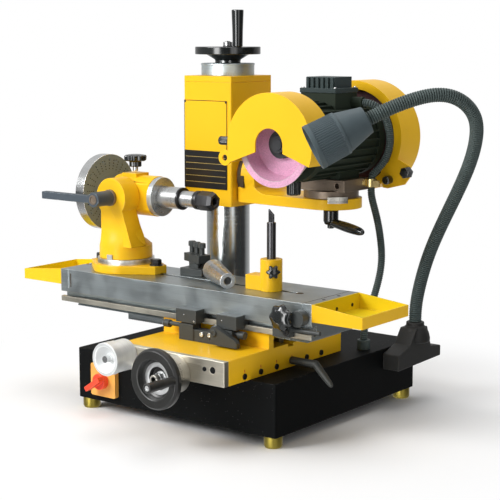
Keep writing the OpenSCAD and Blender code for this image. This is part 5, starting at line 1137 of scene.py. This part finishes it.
# %% Spindle nut
NUT_PLACE, STEP_PLACE = (-62.7, -75, 388), (-98.5, -75, 388)
nut_collar = turned_shape([(15.2, 0.1), (16.6, 0.1), (17.4, 1.5), (17.4, 9), (16, 10)], NUT_PLACE, RIGHT,
                          ease=0.6, sides=96)
nut_hex = turned_shape([
    (15.2, 9), (18, 10), (18, 36), (15.2, 42), (14.6, 44), (9.5, 44), (7.5, 41), (7.5, 20)],
    NUT_PLACE, RIGHT, ease=0.8, sides=6, start=0.35)
piece("spindle_nut", join(nut_collar, nut_hex), "spindle", spindle_black, ("collet_nut",),
      crease=30)
step_ring = turned_shape([(20.2, 0), (20.9, 0), (20.9, 4), (15, 4.6)], STEP_PLACE, RIGHT, ease=0.3, sides=96)
piece("spindle_step", step_ring, "spindle", spindle_black, crease=30)
print("spindle nut and step made")

# %% [markdown]
# ## Fasteners
# Small screws and bolts are listed by place, direction and size. A hexagon is a turned shape with six
# sides, and a socket is a step down in the middle of the head.

# %% Fasteners
BOLTS = {
    "workhead_bolts": ("table", black_metal, "black_metal", [
        ((-138, -104.5, 262), UP, 12.5, 2.2, 0, 40), ((-138, -104.5, 264), UP, 10.5, 10, 0, 6),
        ((-280, -104.5, 262), UP, 9, 11, 0, 6)]),
    "stop_screws": ("saddle", bright_steel, "bright_steel", [
        ((x, -199.9, z), FRONT, 4.2, 2.6, 1.8, 32) for x, z in ((51.6, 171.8), (69.6, 172.8))]),
    "dog_screw": ("table", black_metal, "black_metal", [((229.4, -192.9, 198), FRONT, 6.2, 4, 2.5, 32)]),
    "left_dog_pins": ("left_dog", bright_steel, "bright_steel", [
        ((x, -200.2, z), FRONT, 1.8, 0.7, 0, 4) for x, z in ((10.8, 202.4), (33.5, 192.5))]),
    "right_dog_pin": ("right_dog", bright_steel, "bright_steel", [
        ((96.7, -200.2, 202.6), FRONT, 1.8, 0.7, 0, 4)]),
    "fixture_heads": ("table", block_grey, "black_metal", [
        ((-70 + 16.9 * k, -66 - 6.16 * k, 298.6), UP, 7.2, 9.5, 0, 6) for k in (-1, 0, 1)]),
    "table_end_screws": ("table", black_metal, "black_metal", [
        ((259, y, 246.9), UP, 3.2, 0.6, 0.3, 24) for y in (-127, -82)]),
    "box_screws": ("wheelhead", bright_steel, "bright_steel", [
        ((x, y, 594), UP, 3, 2.4, 1, 24) for x in (96, 166) for y in (38, 102)]),
    "label_screws": ("wheelhead_box", black_metal, "black_metal", [
        ((x, 16.1, z), FRONT, 1.9, 0.9, 0.5, 20) for x in (-166, -66.5) for z in (400.5, 563)]),
    "tray_screws": ("table", black_metal, "black_metal", [
        ((270.4, y, 229), RIGHT, 3.2, 1, 0.5, 24) for y in (-104.5, -57)]),
    "switch_screws": ("base", brass, "brass", [
        ((x, -226.9, z), FRONT, 2.4, 1, 0.6, 24) for x in (-181.5, -132.5) for z in (38.5, 87.5)])}
for name, (body, material, slot, rows) in BOLTS.items():
    heads = [turned_shape(knob_profile(radius, height, sunk), place, axis, ease=0.5, sides=sides)
             for place, axis, radius, height, sunk, sides in rows]
    piece(name, join(*heads), body, material, crease=35)
print("fastener sets:", len(BOLTS))

# %% [markdown]
# ## Plates and marks
# Thin plates are boxes: eight corners each, made for a whole list at once. The black panel on the head
# has six ruled rows, and the plate above it a fine border.

# %% Head plates
def boxes_shape(boxes):
    """Closed boxes from pairs of opposite corners: corner k takes its x, y and z from the bits of k."""
    ends = np.asarray(boxes, float)
    bits = (np.arange(8)[:, None] >> np.arange(3)) & 1
    points = np.where(bits[None] == 1, ends[:, None, 1], ends[:, None, 0])
    sides = np.array([(0, 2, 3, 1), (4, 5, 7, 6), (0, 1, 5, 4), (2, 6, 7, 3), (0, 4, 6, 2), (1, 3, 7, 5)])
    return points.reshape(-1, 3) * MM, (sides[None] + 8 * np.arange(len(ends))[:, None, None]).reshape(-1, 4)


LABEL_X0, LABEL_X1, LABEL_Z0, PANEL_Z1, LABEL_Z1 = -168.5, -64, 398, 470, 566
LABEL_BACK, PANEL_FRONT, PLATE_FRONT = 17, 15.6, 16
ROWS, RULE, RULE_INSET, RULE_FRONT, RULE_BACK = 6, 0.8, 3, 15.45, 15.7
BORDER_SIDE, BORDER_TOP, BORDER_FRONT, BORDER_BACK = 1.1, 1.2, 15.85, 16.1

panel = boxes_shape([((LABEL_X0, PANEL_FRONT, LABEL_Z0), (LABEL_X1, LABEL_BACK, PANEL_Z1))])
piece("ruled_panel", panel, "wheelhead_box", black_metal, ("head_panel",))
row_h = (PANEL_Z1 - LABEL_Z0) / ROWS
heights = [LABEL_Z0 + k * row_h for k in range(1, ROWS)]
rule_x0, rule_x1 = LABEL_X0 + RULE_INSET, LABEL_X1 - RULE_INSET
rules = boxes_shape([((rule_x0, RULE_FRONT, z - RULE / 2), (rule_x1, RULE_BACK, z + RULE / 2))
                     for z in heights])
piece("panel_rules", rules, "wheelhead_box", rule_paint)
plate = boxes_shape([((LABEL_X0, PLATE_FRONT, PANEL_Z1), (LABEL_X1, LABEL_BACK, LABEL_Z1))])
piece("name_plate", plate, "wheelhead_box", yellow_paint)
border = boxes_shape([
    ((x0, BORDER_FRONT, z0), (x1, BORDER_BACK, LABEL_Z1))
    for x0, x1, z0 in ((LABEL_X0, LABEL_X0 + BORDER_SIDE, PANEL_Z1),
                       (LABEL_X1 - BORDER_SIDE, LABEL_X1, PANEL_Z1),
                       (LABEL_X0, LABEL_X1, LABEL_Z1 - BORDER_TOP))])
piece("plate_border", border, "wheelhead_box", black_metal)
print("head panel with", ROWS, "rows")

# %% [markdown]
# A curved scale sits on the rim of the platform, and a brown band on the arm's boss, painted shade for
# its groove. The rest are small: a pointer, the conduit clip's blocks, red marks on the gib, ribs on the
# terminal box, and seams: thin dark strips of painted shade, those on the table also brown with rust, and
# a dark disc of painted shade at the end of the T-slot.

# %% Scale, pointers, seams and painted shade
def arc_plate(centre, r0, r1, z0, z1, a0, a1, steps=48):
    """A curved bar: the rectangle r0..r1 by z0..z1 carried round the centre from a0 to a1, ends closed."""
    turn = np.radians(np.linspace(a0, a1, steps))
    r, z = np.array([r0, r1, r1, r0]), np.array([z0, z0, z1, z1])
    points = np.stack([centre[0] + r * np.cos(turn)[:, None], centre[1] + r * np.sin(turn)[:, None],
                       np.broadcast_to(z, (steps, 4))], -1)
    last = 4 * (steps - 1)
    ends = np.array([(0, 1, 2, 3), (last, last + 3, last + 2, last + 1)])
    return points.reshape(-1, 3) * MM, np.concatenate([grid_faces(steps, 4), ends])


scale = arc_plate(PLATFORM, 56.8, 57.8, 387.5, 399, -62, -24)
piece("platform_scale", scale, "arm", arc_scale)
# A thin brown band on the arm's boss: painted shade for its groove.
boss_groove_shade = turned_shape([(50.6, 0), (51.7, 0), (51.7, 8.5), (50.6, 8.5)], (-50, 80, 423), RIGHT,
                         ease=0.3, sides=128)
boss_mark = boxes_shape([((-41, 27.6, 404), (-33.5, 34, 426))])
piece("boss_groove_shade", join(boss_groove_shade, boss_mark), "arm", shade_and_rust_brown)
pointer = boxes_shape([((-216, -155.7, 272.7), (-203, -149, 281.5))])
piece("swivel_pointer", pointer, "work_bracket", aluminium)
clip = boxes_shape([((174, 107, 414.5), (188, 113, 427)), ((203, 109, 415), (216, 113, 426))])
clip_screw = turned_shape(knob_profile(4, 3, 1.2), (181, 107.2, 420.5), FRONT, ease=0.4, sides=32)
piece("clip_block", join(clip, clip_screw), "wheelhead", brass, crease=30)
marks = boxes_shape([((174.9, y - 0.8, 129.5), (175.25, y + 0.8, 134.5)) for y in (-237, -192, -147, -102)])
piece("gib_marks", marks, "saddle", red_paint)
lid_ribs = boxes_shape([((x, 39.6, 594.5), (x + 5.5, 44, 613)) for x in np.linspace(101.5, 155, 6)])
piece("lid_ribs", lid_ribs, "wheelhead", box_paint)
# A thin brown strip in the gap at the table's left end: painted shade, with rust.
end_gap_shade = boxes_shape([((-293, -176.2, 214), (-290.8, -175.6, 240))])
piece("table_end_gap_shade", end_gap_shade, "table", shade_and_rust_brown)
# A dark disc at the end of the T-slot and a strip across the top at the right end: painted shade.
slot_end_shade = turned_shape([(0, -0.5), (7, -0.5), (7, 0.1), (0, 0.1)], (193, -104.5, 247.1), UP,
                        ease=0.1, sides=40)
top_gap_shade = boxes_shape([((249, -175.4, 246.5), (250.5, -33.6, 247.2))])
piece("table_top_gap_shade", join(top_gap_shade, slot_end_shade), "table", shade_and_rust_brown)
filler = boxes_shape([((200, -109, 240), (267.9, -100, 247.08))])
piece("slot_filler", filler, "table", ground_steel)
# A dark strip on the stop bracket: painted shade for the gap between its blocks.
stop_gap_shade = boxes_shape([((31, -200.2, 157.3), (34.5, -199.6, 178))])
piece("stop_gap_shade", stop_gap_shade, "saddle", black_metal)
lip = turned_shape([(50.4, 19.2), (51.9, 19.6), (51.9, 22.4), (50.4, 23)], LIFT_DIAL, UP, ease=0.4, sides=128)
piece("dial_lip", lip, "lift_drive", lift_scale, crease=30)
print("scale, pointers and seams made")

# %% [markdown]
# ## Floor, light and background
# A pale floor catches a soft shadow and turns to plain white away from the machine, so the picture has
# no horizon. One large soft lamp stands at the front left, a weaker one fills the right side, and one
# hangs above. Bare metal and gloss show what stands round them, so the sky that reflections see is
# painted as a studio: by compass direction it goes from grey to a white lamp, dark room, a dim window
# and white again behind the machine.

# %% Floor
def stage_plane(name, corners, material):
    """A flat four-sided sheet that belongs to the stage, not to the machine."""
    mesh = bpy.data.meshes.new(name)
    mesh.from_pydata(corners, [], [(0, 1, 2, 3)])
    mesh.materials.append(material)
    obj = bpy.data.objects.new(name, mesh)
    bpy.context.scene.collection.objects.link(obj)
    return obj


floor_paint = bpy.data.materials.new("floor_paint")
floor_paint.use_nodes = True
floor_tree = floor_paint.node_tree
floor_bsdf = floor_tree.nodes["Principled BSDF"]
floor_bsdf.inputs["Roughness"].default_value = 0.9
floor_bsdf.inputs["Specular IOR Level"].default_value = 0.1
floor_coords = add(floor_tree, "TexCoord").outputs["Object"]
PALE, PALER = rgb(0.95, 0.95, 0.95), rgb(0.97, 0.97, 0.97)
floor_tone = mixed(floor_tree, noise(floor_tree, floor_coords, 3.0), PALE, PALER)
floor_tree.links.new(floor_tone, floor_bsdf.inputs["Base Color"])
FADE_FROM, FADE_TO = 0.28, 0.75
away = add(floor_tree, "VectorMath", {0: floor_coords}, operation="LENGTH").outputs["Value"]
fade = add(floor_tree, "MapRange", {0: away, 1: FADE_FROM, 2: FADE_TO},
           interpolation_type="SMOOTHSTEP").outputs[0]
white = add(floor_tree, "Emission", {"Color": (1, 1, 1, 1), "Strength": 1.0}).outputs[0]
seen = calc(floor_tree, "MULTIPLY", fade, add(floor_tree, "LightPath").outputs["Is Camera Ray"])
blend = add(floor_tree, "MixShader", {0: seen, 1: floor_bsdf.outputs[0], 2: white})
floor_tree.links.new(blend.outputs[0], floor_tree.nodes["Material Output"].inputs["Surface"])
FLOOR_REACH = 12
FLOOR_CORNERS = [(x * FLOOR_REACH, y * FLOOR_REACH, 0) for x, y in ((-1, -1), (1, -1), (1, 1), (-1, 1))]
floor = stage_plane("floor", FLOOR_CORNERS, floor_paint)
floor.visible_glossy = False
print("floor: white beyond", FADE_TO, "m")

# %% [markdown]
# The sky is white to the eye, dim as a light, and the painted studio in reflections. A heading is
# measured from the camera's own, so the bands read as left and right in the picture.

# %% Sky and lamps
world = bpy.data.worlds.new("studio")
bpy.context.scene.world = world
world.use_nodes = True
sky = world.node_tree
rays = add(sky, "LightPath").outputs
heading = add(sky, "SeparateXYZ", {0: add(sky, "TexCoord").outputs["Generated"]}).outputs
compass = calc(sky, "ARCTAN2", heading[0], calc(sky, "MULTIPLY", heading[1], -1.0))
from_camera = calc(sky, "SUBTRACT", compass, CAMERA_ROUND)
part = calc(sky, "FRACT", calc(sky, "MULTIPLY_ADD", from_camera, 0.5 / math.pi, 1.5))
ramp = add(sky, "ValToRGB", {0: part}).outputs
STUDIO = [
    (-180, 0.7), (-130, 0.45), (-100, 0.28), (-56, 0.25), (-50, 0.9), (-44, 8.0), (-32, 8.0), (-26, 0.9),
    (-20, 0.13), (8, 0.10), (14, 1.4), (28, 1.4), (37, 0.05), (98, 0.05), (112, 0.3), (150, 0.6), (180, 0.7)]
stops = ramp[0].node.color_ramp.elements
while len(stops) < len(STUDIO):
    stops.new(0.5)
for stop, (degrees, level) in zip(stops, STUDIO):
    stop.position = degrees / 360 + 0.5
    stop.color = (level, level, level, 1)
steep = ranged(sky, calc(sky, "ABSOLUTE", heading[2]), 0.42, 0.75)
room = mixed(sky, steep, ramp[0], (0.7, 0.7, 0.7, 1))
plain = calc(sky, "MAXIMUM", rays["Is Camera Ray"], rays["Is Transmission Ray"])
sky.links.new(mixed(sky, rays["Is Glossy Ray"], (1, 1, 1, 1), room), sky.nodes["Background"].inputs["Color"])
SKY_LIGHT = 0.36
seen = calc(sky, "MAXIMUM", plain, rays["Is Glossy Ray"])
sky.links.new(ranged(sky, seen, 0, 1, SKY_LIGHT, 1.0), sky.nodes["Background"].inputs["Strength"])


def soft_lamp(name, place, aim, size, power):
    """A square lamp of that size at place, turned to aim."""
    data = bpy.data.lights.new(name, "AREA")
    data.size = size
    data.energy = power
    lamp = bpy.data.objects.new(name, data)
    lamp.location = place
    lamp.rotation_euler = (Vector(aim) - Vector(place)).to_track_quat("-Z", "Y").to_euler()
    bpy.context.scene.collection.objects.link(lamp)


AIM = (0, 0, 0.35)
soft_lamp("key", (-1.4, -2.6, 2.0), AIM, 1.6, 102)
soft_lamp("fill", (2.6, -0.6, 1.2), AIM, 1.6, 1.5)
soft_lamp("top", (0.1, 0.5, 2.6), AIM, 1.8, 24)
print("sky and three lamps made")
